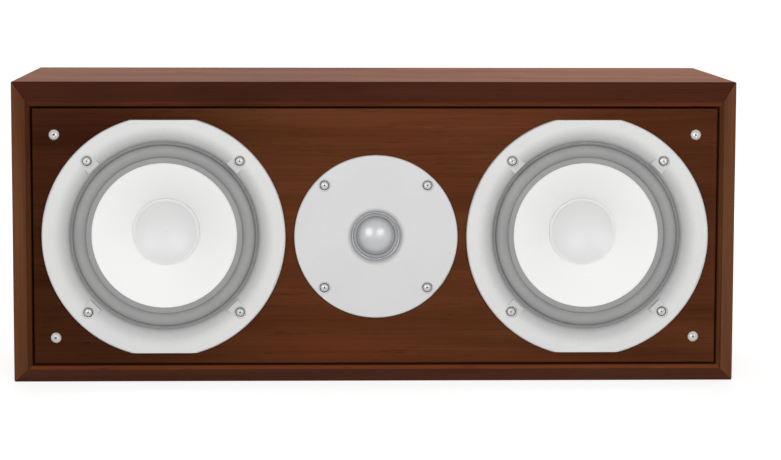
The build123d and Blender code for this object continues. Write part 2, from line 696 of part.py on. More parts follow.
def baffle_frame():
    solids = []
    pilot = Cylinder(CORNER_SCREW_SHANK / 2 + PILOT_CLEARANCE, 2 * CORNER_SCREW_LENGTH)
    holes = [on_baffle(0) * Pos(x, z, 0) * pilot for x, z in corner_screws()]
    for x in (-1, 1):
        for z in (-1, 1):
            place = Pos(x * (inner_length - BLOCK_SIZE) / 2, frame_y + BLOCK_LENGTH / 2,
                        axis_z + z * (inner_height - BLOCK_SIZE) / 2)
            solids.append(place * Box(BLOCK_SIZE, BLOCK_LENGTH, BLOCK_SIZE) - holes)
    middle = frame_y + BATTEN_SIZE / 2
    for side in (-1, 1):
        solids.append(Pos(0, middle, axis_z + side * (inner_height - BATTEN_SIZE) / 2)
                      * Box(inner_length - 2 * BLOCK_SIZE, BATTEN_SIZE, BATTEN_SIZE))
        solids.append(Pos(side * (inner_length - BATTEN_SIZE) / 2, middle, axis_z)
                      * Box(BATTEN_SIZE, BATTEN_SIZE, inner_height - 2 * BLOCK_SIZE))
    return group(solids)


def baffle_seal():
    frame = Box(inner_length, SEAL_THICKNESS, inner_height)
    frame -= Box(inner_length - 2 * SEAL_WIDTH, 2 * SEAL_THICKNESS, inner_height - 2 * SEAL_WIDTH)
    seal = Pos(0, baffle_back + SEAL_THICKNESS / 2, axis_z) * frame
    hole = Cylinder(CORNER_SCREW_SHANK / 2 + FIT, 2 * CORNER_SCREW_LENGTH)
    return seal - [on_baffle(0) * Pos(x, z, 0) * hole for x, z in corner_screws()]


def rear_panel():
    panel = Pos(0, rear_y - REAR_THICKNESS / 2, axis_z) * Box(inner_length, REAR_THICKNESS, inner_height)
    panel -= on_rear(port_x) * Cylinder(sleeve_radius + FIT, 3 * REAR_THICKNESS)
    panel -= on_rear(0) * Pos(0, 0, -REAR_THICKNESS) * extrude(cup_outline(FIT), 2 * REAR_THICKNESS)
    pilot = Cylinder(SMALL_SCREW_SHANK / 2 + PILOT_CLEARANCE, 2 * (SMALL_SCREW_LENGTH - CUP_PLATE))
    return panel - [on_rear(0) * Pos(x, y, 0) * pilot for x, y in cup_holes()]


def wadding_pads():
    pad = Box(WADDING_THICKNESS, WADDING_DEPTH, inner_height - 2 * WADDING_INSET)
    pad = fillet(pad.edges(), WADDING_ROUND)
    x = (inner_length - WADDING_THICKNESS) / 2
    y = rear_inside - WADDING_DEPTH / 2
    return group([Pos(-x, y, axis_z) * pad, Pos(x, y, axis_z) * pad])


# Terminal cup and its two posts, drawn out of the rear panel
def cup_outline(margin):
    wide = cup_mouth_width + 2 * (CUP_WALL + margin)
    tall = cup_mouth_height + 2 * (CUP_WALL + margin)
    return RectangleRounded(wide, tall, CUP_CORNER)


def cup_holes():
    x = CUP_WIDTH / 2 - CUP_SCREW_INSET
    y = CUP_HEIGHT / 2 - CUP_SCREW_INSET
    return [(x, y), (-x, y), (x, -y), (-x, -y)]


def posts():
    return [Pos(POST_SPACING / 2, 0, 0), Pos(-POST_SPACING / 2, 0, 0)]


def terminal_cup():
    plate = extrude(RectangleRounded(CUP_WIDTH, CUP_HEIGHT, CUP_CORNER), CUP_PLATE)
    plate = fillet(plate.faces().sort_by(Axis.Z)[-1].edges(), CUP_ARRIS)
    outer = Rot(180, 0, 0) * extrude(cup_outline(0), -cup_back, taper=CUP_DRAFT)
    mouth = RectangleRounded(cup_mouth_width, cup_mouth_height, CUP_CORNER - CUP_WALL)
    inner = Pos(0, 0, CUP_PLATE) * Rot(180, 0, 0) * extrude(mouth, CUP_DEPTH, taper=CUP_DRAFT)
    cup = plate + outer - inner
    collar = Pos(0, 0, cup_floor) * Cylinder(POST_COLLAR, POST_COLLAR_HEIGHT,
                                             align=(Align.CENTER, Align.CENTER, Align.MIN))
    cup += [post * collar for post in posts()]
    cup -= [post * Cylinder(POST_TAIL_RADIUS + RUNNING, 6 * CUP_DEPTH) for post in posts()]
    hole = Cylinder(SMALL_SCREW_SHANK / 2 + PILOT_CLEARANCE, 6 * CUP_PLATE)
    return cup - [Pos(x, y, 0) * hole for x, y in cup_holes()]


def post_stud():
    tail = disc(POST_TAIL_RADIUS, tail_end, collar_top)
    shoulder = disc(POST_SHOULDER, collar_top, shoulder_top)
    shank = disc(POST_RADIUS, shoulder_top, post_end)
    shank -= Pos(POST_RADIUS, 0, 0) * Box(2 * POST_FLAT, 4 * POST_RADIUS, 4 * CUP_DEPTH)
    socket = disc(SOCKET_RADIUS, post_end - SOCKET_DEPTH, post_end + 1)
    cross = Pos(0, 0, shoulder_top + WIRE_HOLE_HEIGHT) * Rot(90, 0, 0) * Cylinder(WIRE_HOLE_RADIUS, 4 * POST_RADIUS)
    return tail + shoulder + shank - socket - cross


def post_washer():
    hole = Circle(post_bore) - Pos(POST_RADIUS + RUNNING, 0) * Rectangle(2 * POST_FLAT, 4 * POST_RADIUS)
    return Pos(0, 0, washer_base) * extrude(Circle(WASHER_RADIUS) - hole, WASHER_THICKNESS)


def post_knob():
    top = knob_inside + KNOB_END
    barrel = disc(KNOB_RADIUS, knob_base, top)
    barrel = chamfer(barrel.edges().filter_by(GeomType.CIRCLE), KNOB_ARRIS)
    barrel -= disc(post_bore, knob_base - 1, knob_inside)
    barrel -= disc(SOCKET_RADIUS + KNOB_HOLE_MARGIN, knob_base, top + 1)
    flute = Pos(KNOB_RADIUS + FLUTE_RADIUS - FLUTE_DEPTH, 0, 0) * disc(FLUTE_RADIUS, knob_base - 1, top + 1)
    return barrel - [turn * flute for turn in around(KNOB_FLUTES, 0)]


def post_nut():
    hexagon = RegularPolygon(NUT_FLATS / 2, 6, major_radius=False) - Circle(POST_TAIL_RADIUS + RUNNING)
    return Pos(0, 0, cup_back - NUT_HEIGHT) * extrude(hexagon, NUT_HEIGHT)


def port_tube():
    flare = ThreePointArc((PORT_RADIUS, PORT_PROUD - PORT_FLARE),
                          (port_mouth - PORT_FLARE * cos(radians(45)),
                           PORT_PROUD - PORT_FLARE * (1 - sin(radians(45)))),
                          (port_mouth, PORT_PROUD))
    edge = JernArc((port_flange - PORT_ARRIS, PORT_PROUD), (1, 0), PORT_ARRIS, -90)
    tube_radius = PORT_RADIUS + PORT_WALL
    face = Line((port_mouth, PORT_PROUD), (port_flange - PORT_ARRIS, PORT_PROUD))
    rest = Polyline((port_flange, PORT_PROUD - PORT_ARRIS), (port_flange, 0), (sleeve_radius, 0),
                    (sleeve_radius, -PORT_FLARE), (tube_radius, -PORT_FLARE - PORT_SLEEVE_WALL),
                    (tube_radius, -port_length), (PORT_RADIUS, -port_length),
                    (PORT_RADIUS, PORT_PROUD - PORT_FLARE))
    return lathe(flare + face + edge + rest)


# Crossover, on spacers over the bottom panel
def board_holes():
    x = board_length / 2 - BOARD_HOLE_INSET
    y = BOARD_WIDTH / 2 - BOARD_HOLE_INSET
    return [(x, y), (-x, y), (x, -y), (-x, -y)]


def crossover_board():
    board = Pos(0, 0, board_base + BOARD_WALL / 2) * Box(board_length, BOARD_WIDTH, BOARD_WALL)
    hole = Cylinder(SMALL_SCREW_SHANK / 2 + PILOT_CLEARANCE, 6 * board_top)
    return board - [Pos(x, y, 0) * hole for x, y in board_holes()]


def board_spacers():
    spacer = ring(SMALL_SCREW_SHANK / 2 + PILOT_CLEARANCE, SPACER_RADIUS, WALL, board_base)
    return group([Pos(x, y, 0) * spacer for x, y in board_holes()])


def crossover_coils():
    spool = ring(COIL_CORE, COIL_RADIUS, board_top, board_top + COIL_CHEEK)
    spool += ring(COIL_CORE, COIL_RADIUS - COIL_CHEEK, board_top, board_top + COIL_HEIGHT)
    spool += ring(COIL_CORE, COIL_RADIUS, board_top + COIL_HEIGHT - COIL_CHEEK, board_top + COIL_HEIGHT)
    return group([Pos(-coil_x, 0, 0) * spool, Pos(coil_x, 0, 0) * spool])


def crossover_capacitors():
    can = Rot(90, 0, 0) * Cylinder(CAPACITOR_RADIUS, CAPACITOR_LENGTH)
    can = fillet(can.edges(), CAPACITOR_RADIUS / 5)
    x = CAPACITOR_RADIUS + CAPACITOR_GAP / 2
    return group([Pos(side * x, 0, board_top + CAPACITOR_RADIUS) * can for side in (-1, 1)])


def crossover_resistors():
    block = Box(RESISTOR_LENGTH, RESISTOR_SIZE, RESISTOR_SIZE)
    y = CAPACITOR_LENGTH / 2 + RESISTOR_GAP + RESISTOR_SIZE / 2
    return group([Pos(0, -y, board_top + RESISTOR_SIZE / 2) * block])


def small_screws():
    screw = pan_screw(SMALL_SCREW_HEAD, SMALL_SCREW_HEAD_HEIGHT, SMALL_SCREW_SHANK, SMALL_SCREW_LENGTH)
    solids = [on_rear(0) * Pos(x, y, CUP_PLATE) * screw for x, y in cup_holes()]
    solids += [Pos(x, y, board_top) * screw for x, y in board_holes()]
    return group(solids)


# Wires: input pair, then one pair to each driver
def blade_tip(x, turn, side):
    tip = on_baffle(x, turn) * Rot(0, 0, -45) * Pos(blade_radius, side * BLADE_SPREAD, blade_end)
    return tip.position


def wires(side):
    bend = WIRE_BEND
    landing = board_top + 2 * bend
    edge_y = BOARD_WIDTH / 2 - WIRE_BEND
    edge_x = board_length / 2 - WIRE_BEND
    post_x = -side * POST_SPACING / 2
    inlet = rear_y + tail_end
    solids = [tube([(post_x, inlet, axis_z), (post_x, inlet - 2 * bend, axis_z),
                    (post_x, inlet - 2 * bend, landing), (post_x, edge_y, landing),
                    (post_x, edge_y, board_top)], WIRE_RADIUS, bend * 0.9)]
    for x, turn in ((-woofer_x, 0), (woofer_x, 180)):
        tip = blade_tip(x, turn, side)
        way = -1 if x < 0 else 1
        y = side * bend - edge_y / 2
        solids.append(tube([(tip.X, tip.Y, tip.Z), (tip.X, tip.Y + 2 * bend, tip.Z),
                            (way * (edge_x + 2 * bend), y, landing + bend), (way * edge_x, y, landing),
                            (way * edge_x, y, board_top)], WIRE_RADIUS, bend * 0.6))
    tip_y = front_y - tweeter_end + TAG_WALL + BLADE_WALL / 2
    tip_z = axis_z + BLADE_TAIL - BLADE_LENGTH
    tip_x = side * BLADE_SPREAD
    solids.append(tube([(tip_x, tip_y, tip_z), (tip_x, tip_y, landing), (tip_x, -edge_y, landing),
                        (tip_x, -edge_y, board_top)], WIRE_RADIUS, bend * 0.9))
    return group(solids)


# Everything in its place
def woofer(name, x, turn):
    place = on_baffle(x, turn)
    return {
        name + "_woofer_basket": place * woofer_basket(),
        name + "_woofer_surround": place * woofer_surround(),
        name + "_woofer_cone": place * woofer_cone(),
        name + "_woofer_dust_cap": place * dust_cap(),
        name + "_woofer_voice_coil": place * woofer_coil(),
        name + "_woofer_spider": place * woofer_spider(),
        name + "_woofer_top_plate": place * woofer_top_plate(),
        name + "_woofer_magnet": place * woofer_magnet(),
        name + "_woofer_yoke": place * woofer_yoke(),
        name + "_woofer_tags": place * woofer_tags(),
        name + "_woofer_leads": place * woofer_leads(),
    }


def tweeter():
    place = on_baffle(0)
    return {
        "tweeter_faceplate": place * tweeter_faceplate(),
        "tweeter_dome": place * tweeter_dome(),
        "tweeter_surround": place * tweeter_surround(),
        "tweeter_voice_coil": place * tweeter_coil(),
        "tweeter_top_plate": place * tweeter_top_plate(),
        "tweeter_magnet": place * tweeter_magnet(),
        "tweeter_yoke": place * tweeter_yoke(),
        "tweeter_tags": place * tweeter_tags(),
    }


def woofer_screws():
    screws = driver_screws(woofer_screw_circle, FLANGE_PROUD)
    return group([on_baffle(x) * screw for x in (-woofer_x, woofer_x) for screw in screws])


def tweeter_screws():
    return group([on_baffle(0) * screw for screw in driver_screws(tweeter_screw_circle, PLATE_PROUD)])


def all_gaskets():
    woofers = [on_baffle(x) * gasket(woofer_cutout) for x in (-woofer_x, woofer_x)]
    return group(woofers + [on_baffle(0) * gasket(tweeter_cutout)])


def baffle_screws():
    screw = pan_screw(CORNER_SCREW_HEAD, CORNER_SCREW_HEAD_HEIGHT, CORNER_SCREW_SHANK, CORNER_SCREW_LENGTH)
    return group([on_baffle(0) * Pos(x, z, 0) * screw for x, z in corner_screws()])


def rear_fittings():
    rear = on_rear(0)
    nodes = {"terminal_cup": rear * terminal_cup(), "port_tube": on_rear(port_x) * port_tube()}
    nodes["post_nuts"] = group([rear * post * post_nut() for post in posts()])
    for colour, post in zip(("red", "black"), posts()):
        nodes[colour + "_post_stud"] = rear * post * post_stud()
        nodes[colour + "_post_washer"] = rear * post * post_washer()
        nodes[colour + "_post_knob"] = rear * post * post_knob()
    return nodes


def build():
    top, bottom, left, right = wrap_panels()
    nodes = {"top_panel": top, "bottom_panel": bottom, "left_side_panel": left, "right_side_panel": right}
    nodes["rear_panel"] = rear_panel()
    nodes["front_baffle"] = front_baffle()
    nodes["baffle_battens"] = baffle_frame()
    nodes["baffle_seal"] = baffle_seal()
    nodes["baffle_screws"] = baffle_screws()
    nodes["wadding_pads"] = wadding_pads()
    nodes.update(woofer("left", -woofer_x, 0))
    nodes.update(woofer("right", woofer_x, 180))
    nodes.update(tweeter())
    nodes["woofer_screws"] = woofer_screws()
    nodes["tweeter_screws"] = tweeter_screws()
    nodes["driver_gaskets"] = all_gaskets()
    nodes.update(rear_fittings())
    nodes["crossover_board"] = crossover_board()
    nodes["crossover_spacers"] = board_spacers()
    nodes["crossover_coils"] = crossover_coils()
    nodes["crossover_capacitors"] = crossover_capacitors()
    nodes["crossover_resistors"] = crossover_resistors()
    nodes["small_screws"] = small_screws()
    nodes["red_wires"] = wires(1)
    nodes["black_wires"] = wires(-1)
    return nodes


os.makedirs("parts", exist_ok=True)
for name, shape in build().items():
    export_step(shape, "parts/" + name + ".step")
    print(name, round(shape.volume, 1), len(shape.solids()), shape.is_valid)
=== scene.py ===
# %% [markdown]
# # A center channel speaker
# The CAD model fixes every size and every joint of this loudspeaker. This script loads it as a
# frame, gives each solid the finish of its real material, and grows the pieces that CAD leaves
# plain: rolled rubber, corrugated cloth, threaded screws and soft wadding. X runs along the
# cabinet, -Y looks out of the front and Z is up, in metres.

# %% Load the frame
import math

import bmesh
import bpy
import numpy as np
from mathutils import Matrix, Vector, noise


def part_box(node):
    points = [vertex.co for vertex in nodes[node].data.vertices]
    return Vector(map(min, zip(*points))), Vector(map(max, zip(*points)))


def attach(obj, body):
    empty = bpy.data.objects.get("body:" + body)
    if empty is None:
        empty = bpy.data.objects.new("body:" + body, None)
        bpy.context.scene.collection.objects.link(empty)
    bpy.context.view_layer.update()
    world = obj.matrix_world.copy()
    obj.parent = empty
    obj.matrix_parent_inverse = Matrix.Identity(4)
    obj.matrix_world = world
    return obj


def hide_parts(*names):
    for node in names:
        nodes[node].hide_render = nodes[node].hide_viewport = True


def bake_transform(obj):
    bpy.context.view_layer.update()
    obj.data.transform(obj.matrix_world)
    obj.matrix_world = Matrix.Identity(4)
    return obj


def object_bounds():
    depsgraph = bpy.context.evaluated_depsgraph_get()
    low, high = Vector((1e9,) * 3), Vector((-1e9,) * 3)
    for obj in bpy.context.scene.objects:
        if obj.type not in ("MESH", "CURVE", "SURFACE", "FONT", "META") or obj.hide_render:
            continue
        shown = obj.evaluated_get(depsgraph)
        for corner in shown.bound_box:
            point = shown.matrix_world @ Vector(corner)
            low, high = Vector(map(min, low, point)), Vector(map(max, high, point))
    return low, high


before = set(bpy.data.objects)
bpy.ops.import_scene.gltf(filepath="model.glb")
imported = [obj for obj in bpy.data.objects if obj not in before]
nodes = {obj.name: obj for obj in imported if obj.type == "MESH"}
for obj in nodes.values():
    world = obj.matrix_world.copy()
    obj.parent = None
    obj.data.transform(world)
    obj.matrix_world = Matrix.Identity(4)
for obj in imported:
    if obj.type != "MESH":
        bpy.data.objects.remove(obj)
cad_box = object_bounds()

MM = 0.001

# %% [markdown]
# ## Helpers for every finish
# A paint chip is read in sRGB, but a shader works in linear light, so one function turns hex
# values to linear colour. A second one adds any node with its settings and links. Each finish
# then starts from a Principled shader and the piece's own Object coordinates, which do not slide
# when a driver moves.


# %% Helpers for colours and nodes
def linear(hex_colour):
    """An sRGB hex colour as the linear colour that a shader works in."""
    shares = [int(hex_colour[i:i + 2], 16) / 255 for i in (1, 3, 5)]
    return (*[s / 12.92 if s <= 0.04045 else ((s + 0.055) / 1.055) ** 2.4 for s in shares], 1.0)


def add(tree, kind, inputs=None, **settings):
    """Adds one node: its settings first, then each input as a link or a plain value.
    A node that is given as an input stands for its first output."""
    node = tree.nodes.new(kind)
    for name, value in settings.items():
        setattr(node, name, value)
    for socket, value in (inputs or {}).items():
        if isinstance(value, bpy.types.Node):
            value = value.outputs[0]
        if isinstance(value, bpy.types.NodeSocket):
            tree.links.new(value, node.inputs[socket])
        else:
            node.inputs[socket].default_value = value
    return node


# %% Start and end of a finish
# A Mix node has sockets for every kind of data. These are the numbers of the ones for colours.
FACTOR, COLOUR_A, COLOUR_B, COLOUR_OUT = 0, 6, 7, 2


def start_finish(name, **constants):
    """A new material: its tree, its Principled shader with the constant sockets set, and Object
    coordinates."""
    finish = bpy.data.materials.new(name)
    finish.use_nodes = True
    tree = finish.node_tree
    shader = tree.nodes["Principled BSDF"]
    for socket, value in constants.items():
        shader.inputs[socket.replace("_", " ")].default_value = value
    return finish, tree, shader, add(tree, "ShaderNodeTexCoord").outputs["Object"]


def end_finish(tree, shader, colour, normal, roughness=None):
    """Links what varies over the surface."""
    tree.links.new(colour, shader.inputs["Base Color"])
    tree.links.new(normal.outputs[0], shader.inputs["Normal"])
    if roughness:
        tree.links.new(roughness.outputs[0], shader.inputs["Roughness"])


def cells(*sizes):
    """Noise scale along X, Y and Z for features of these sizes in millimetres."""
    return [1 / (size * MM) for size in sizes]


def toned(tree, colour, measure, start, end, tint):
    """A colour that is itself where the measure is start, and is multiplied by the tint where it
    is end."""
    depth = add(tree, "ShaderNodeMapRange", {
        "Value": measure, "From Min": start, "From Max": end}, interpolation_type="SMOOTHSTEP")
    return add(tree, "ShaderNodeMix", {
        FACTOR: depth, COLOUR_A: colour, COLOUR_B: linear(tint)},
        data_type="RGBA", blend_type="MULTIPLY").outputs[COLOUR_OUT]


# %% [markdown]
# ## Stained walnut veneer
# The box is board faced with a thin sheet of walnut, stained dark and sprayed with satin lacquer.
# The eye sees broad brown and reddish figure, fine lines that run with the grain, and short dark
# pores. Image textures could show one plank, but noise stretched along the grain gives every
# panel its own figure with no repeat. A low specular level keeps the dark brown deep, and the
# lacquer still shines at a grazing view.

# %% Veneer
VENEER_RED = "#5F2C1A"
PORE_BROWN = "#2E150C"
PORE_DEPTH = 0.12 * MM
# Length along the grain and width across it in mm, then the noise's own settings. Real grain lines
# are about 0.5 mm apart and walnut pores about 0.2 mm wide. Both are too fine for this frame, so
# they are drawn 1.8 mm and 0.8 mm wide.
VENEER_PATTERNS = {
    "figure": (340, 30, {"Detail": 3.0, "Roughness": 0.55, "Distortion": 0.5}),
    "clouds": (110, 60, {"Detail": 2.0}),
    "lines": (130, 1.8, {"Detail": 4.0, "Roughness": 0.6, "Distortion": 0.2}),
    "pores": (16, 0.8, {"Detail": 1.0}),
}


def stained_veneer(name, grain, shift, dark, light, fades=()):
    """Veneer with its grain along one axis. Each of fades = (axis, from, to, tint) darkens the
    stain from one place in metres to the other."""
    finish, tree, shader, place = start_finish(name, Specular_IOR_Level=0.006)
    seen = {}
    for pattern, (length, width, settings) in VENEER_PATTERNS.items():
        scale = cells(*[length if axis == grain else width for axis in "xyz"])
        spot = add(tree, "ShaderNodeMapping", {"Vector": place, "Location": shift, "Scale": scale})
        seen[pattern] = add(tree, "ShaderNodeTexNoise", {"Vector": spot, "Scale": 1.0, **settings})

    figure = add(tree, "ShaderNodeMapRange", {
        "Value": seen["figure"], "From Min": 0.3, "From Max": 0.7}, interpolation_type="SMOOTHSTEP")
    stain = add(tree, "ShaderNodeMix", {
        FACTOR: figure, COLOUR_A: linear(dark), COLOUR_B: linear(light)},
        data_type="RGBA").outputs[COLOUR_OUT]
    red = add(tree, "ShaderNodeMapRange", {
        "Value": seen["clouds"], "From Min": 0.45, "From Max": 0.75, "To Min": 0.0, "To Max": 0.5})
    stain = add(tree, "ShaderNodeMix", {
        FACTOR: red, COLOUR_A: stain, COLOUR_B: linear(VENEER_RED)},
        data_type="RGBA").outputs[COLOUR_OUT]
    line = add(tree, "ShaderNodeMapRange", {
        "Value": seen["lines"], "From Min": 0.35, "From Max": 0.65, "To Min": 0.87, "To Max": 1.08})
    stain = add(tree, "ShaderNodeMix", {
        FACTOR: 1.0, COLOUR_A: stain, COLOUR_B: line},
        data_type="RGBA", blend_type="MULTIPLY").outputs[COLOUR_OUT]
    pore = add(tree, "ShaderNodeMapRange", {
        "Value": seen["pores"], "From Min": 0.64, "From Max": 0.74, "To Min": 0.0, "To Max": 0.4})
    stain = add(tree, "ShaderNodeMix", {
        FACTOR: pore, COLOUR_A: stain, COLOUR_B: linear(PORE_BROWN)},
        data_type="RGBA").outputs[COLOUR_OUT]
    spot = add(tree, "ShaderNodeSeparateXYZ", {"Vector": place})
    for axis, start, end, tint in fades:
        stain = toned(tree, stain, spot.outputs[axis], start, end, tint)

    satin = add(tree, "ShaderNodeMapRange", {
        "Value": seen["lines"], "From Min": 0.3, "From Max": 0.7, "To Min": 0.6, "To Max": 0.48})
    relief = add(tree, "ShaderNodeBump", {
        "Strength": 0.5, "Distance": PORE_DEPTH, "Height": seen["pores"]}, invert=True)
    end_finish(tree, shader, stain, relief, satin)
    return finish


# %% One sheet for each panel
ALONG, DEEP = "X", "Y"

veneer_long = stained_veneer(
    "Walnut veneer long grain", "x", (0.0, 0.0, 3.1), "#562A16", "#683820")
# Painted sheen: the top is drawn much lighter than the other panels for the light across it, a
# little less towards the left, and its front bevel is multiplied back to a darker brown
veneer_top_painted_sheen = stained_veneer(
    "Walnut veneer top with painted sheen", "x", (2.4, 0.0, 3.1), "#B06E50", "#C27A58",
    fades=((DEEP, -0.0845, -0.0855, "#79675A"), (ALONG, 0.08, -0.06, "#F1F1F1")))
# The narrow front edge of each side, beside the groove, is drawn darker than its bevel
veneer_upright = stained_veneer(
    "Walnut veneer upright grain", "z", (1.7, 0.0, 0.0), "#77462B", "#8C5836",
    fades=((DEEP, -0.1085, -0.1095, "#9C9A98"),))
# Painted shade: the front is darker towards both ends, more so at the left, where less light falls
veneer_front_painted_shade = stained_veneer(
    "Walnut veneer front with painted shade", "x", (5.2, 0.0, 0.4), "#4D2917", "#5F3620",
    fades=((ALONG, -0.02, -0.19, "#B0B0B0"), (ALONG, 0.10, 0.18, "#E7E7E7")))
print("veneers:", [v.name for v in (veneer_long, veneer_top_painted_sheen, veneer_upright, veneer_front_painted_shade)])

# %% [markdown]
# ## Measuring from a driver's axis
# A driver is round, so its finishes change with the distance from its axis: shade is painted into
# a throat, a mouth and a surround's edge and towards a dome's rim, and a press leaves rings. The
# two woofers are mirror images, so the absolute value of the coordinates folds the left one onto
# the right one, and both share one finish.

# %% Distance from an axis
woofer_low, woofer_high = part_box("right_woofer_cone")
woofer_centre = (woofer_low + woofer_high) / 2
axis_z = woofer_centre.z
tweeter_centre = Vector((0, 0, axis_z))


def axis_place(tree, place, centre):
    """Coordinates from a driver's axis, with the left half folded onto the right half."""
    folded = add(tree, "ShaderNodeVectorMath", {0: place}, operation="ABSOLUTE")
    return add(tree, "ShaderNodeMapping", {
        "Vector": folded, "Location": (-centre[0], 0, -centre[2])})


def axis_reach(tree, place, centre):
    """Distance from a driver's axis."""
    flat = add(tree, "ShaderNodeVectorMath", {
        0: axis_place(tree, place, centre), 1: (1, 0, 1)}, operation="MULTIPLY")
    return add(tree, "ShaderNodeVectorMath", {0: flat}, operation="LENGTH").outputs["Value"]


print("woofer axis at", [round(v / MM, 1) for v in woofer_centre], "mm")

# %% [markdown]
# ## Grained finishes
# Paint, rubber, moulded plastic, foam and raw board share one make: a base colour that drifts a
# little towards a second one, and a skin of fine bumps whose size is the real grit of the mould
# or the spray. One function covers them, and each call says what the real surface is. A flat
# colour would be quicker, but a real casting never returns the same light twice.

# %% A grained finish
MATH = "ShaderNodeMath"


def grained(name, colour, shade, grit, relief, roughness, spread=0.08, patch=30, painted_shade_ring=None,
            **constants):
    """grit and patch are sizes in mm of the bumps and of the slow colour drift; relief is the
    bumps' height in mm. painted_shade_ring = (axis, from, to, tint) paints shade into a recess
    about a driver's axis."""
    finish, tree, shader, place = start_finish(name, **constants)
    bumps = add(tree, "ShaderNodeTexNoise", {
        "Vector": place, "Scale": cells(grit)[0], "Detail": 3.0, "Roughness": 0.6})
    drift = add(tree, "ShaderNodeTexNoise", {
        "Vector": place, "Scale": cells(patch)[0], "Detail": 2.0})
    mixed = add(tree, MATH, {0: bumps, 1: drift}, operation="MULTIPLY")
    share = add(tree, "ShaderNodeMapRange", {"Value": mixed, "From Min": 0.12, "From Max": 0.42})
    paint = add(tree, "ShaderNodeMix", {
        FACTOR: share, COLOUR_A: linear(shade), COLOUR_B: linear(colour)},
        data_type="RGBA").outputs[COLOUR_OUT]
    # Shade is painted into the recess about the driver's axis
    if painted_shade_ring:
        paint = toned(tree, paint, axis_reach(tree, place, painted_shade_ring[0]), *painted_shade_ring[1:])
    gloss = add(tree, "ShaderNodeMapRange", {
        "Value": drift, "From Min": 0.3, "From Max": 0.7,
        "To Min": roughness - spread, "To Max": roughness + spread})
    skin = add(tree, "ShaderNodeBump", {
        "Strength": 0.6, "Distance": relief * MM, "Height": bumps})
    end_finish(tree, shader, paint, skin, gloss)
    return finish


# %% Finishes of the drivers
finishes = {
    # Zinc casting with a sprayed satin enamel: soft grey, faint orange peel, with shade painted
    # into the throat
    "basket_paint": grained(
        "Satin enamel on zinc casting", "#D8D8D7", "#D2D2D2", 1.6, 0.03, 0.42,
        painted_shade_ring=(woofer_centre, 73.5 * MM, 65 * MM, "#E4E4E4"), Specular_IOR_Level=0.3),
    # Aluminium plate with the same enamel, a touch cooler, with shade painted into the tweeter's
    # mouth
    "plate_paint": grained(
        "Satin enamel on aluminium plate", "#D2D2D2", "#CDCDCE", 1.4, 0.015, 0.4,
        painted_shade_ring=(tweeter_centre, 19.6 * MM, 17 * MM, "#E9E9E9"), Specular_IOR_Level=0.3),
    # Butyl rubber pressed in a bead-blasted mould: dull, with a dusty bloom and shade painted along
    # its outer edge at the foot of the throat
    "surround_rubber": grained(
        "Moulded butyl rubber", "#999998", "#8A8A8A", 0.7, 0.04, 0.55,
        painted_shade_ring=(woofer_centre, 58.8 * MM, 60 * MM, "#DCDCDC")),
    # Silk dipped in a damping compound: smooth and half dull
    "dome_roll": grained("Doped silk", "#97999B", "#85878A", 0.5, 0.02, 0.35),
    # Sintered ferrite: ground charcoal ceramic
    "ferrite": grained("Sintered ferrite", "#2E2F31", "#202123", 0.8, 0.05, 0.5),
    # Punched phenolic paper with tinned blades in it: brown and half dull
    "tag_board": grained("Phenolic board", "#7A4A2A", "#5E371E", 0.9, 0.05, 0.5),
}
print(f"{len(finishes)} driver finishes")

# %% Finishes of the box and its fittings
finishes |= {
    # Fibreboard cut with a saw: fuzzy fibres, no shine
    "raw_board": grained(
        "Raw fibreboard", "#A98B66", "#8E7352", 1.2, 0.2, 0.85, Specular_IOR_Level=0.2),
    # Closed-cell foam: small bubbles, dull charcoal
    "seal_foam": grained("Closed cell foam", "#3A3A3B", "#242425", 0.9, 0.3, 0.9),
    # Polyester fibre fill: soft white down
    "wadding": grained(
        "Polyester wadding", "#EDECE6", "#D2D0C8", 2.2, 0.8, 0.95,
        Sheen_Weight=0.4, Sheen_Roughness=0.5),
    # ABS from a spark-eroded mould: even fine grain, low sheen
    "cup_plastic": grained("Spark textured ABS", "#1C1C1D", "#141415", 0.9, 0.08, 0.48),
    "port_plastic": grained("Moulded ABS", "#1A1A1B", "#121213", 1.1, 0.06, 0.42),
    # Polycarbonate knobs, polished in the mould: clear shine
    "knob_red": grained("Red polycarbonate", "#B3161B", "#8E1014", 2.0, 0.01, 0.2, IOR=1.58),
    "knob_black": grained("Black polycarbonate", "#161617", "#0E0E0F", 2.0, 0.01, 0.2, IOR=1.58),
    # Woven glass in epoxy under a solder mask: even green with some shine
    "board_laminate": grained("Glass epoxy laminate", "#1E5A35", "#164628", 1.1, 0.05, 0.35),
    # Turned nylon: waxy off-white
    "spacer_nylon": grained("Nylon", "#E7E4D8", "#D8D4C4", 1.5, 0.02, 0.5),
    # Film shrunk round a capacitor: smooth yellow
    "capacitor_sleeve": grained("Polyester film sleeve", "#C9A227", "#B08C1E", 3.0, 0.02, 0.3),
    # Cement cast round a resistor: chalky
    "resistor_cement": grained("Cast cement", "#D9D8D2", "#C4C3BB", 0.7, 0.1, 0.85),
    # Extruded PVC: smooth and a little greasy
    "wire_red": grained("Red PVC sleeve", "#A81D20", "#8F171A", 1.0, 0.02, 0.4),
    "wire_black": grained("Black PVC sleeve", "#1B1B1C", "#121213", 1.0, 0.02, 0.4),
}
print(f"{len(finishes)} grained finishes in all")

# %% [markdown]
# ## Plated metal
# Metal shows its making in fine marks: a mottle on a plated screw, turns on a coil, strands on a
# braid. The marks only vary the roughness and lean the surface a hair, so the highlight breaks up
# as it does on real metal.


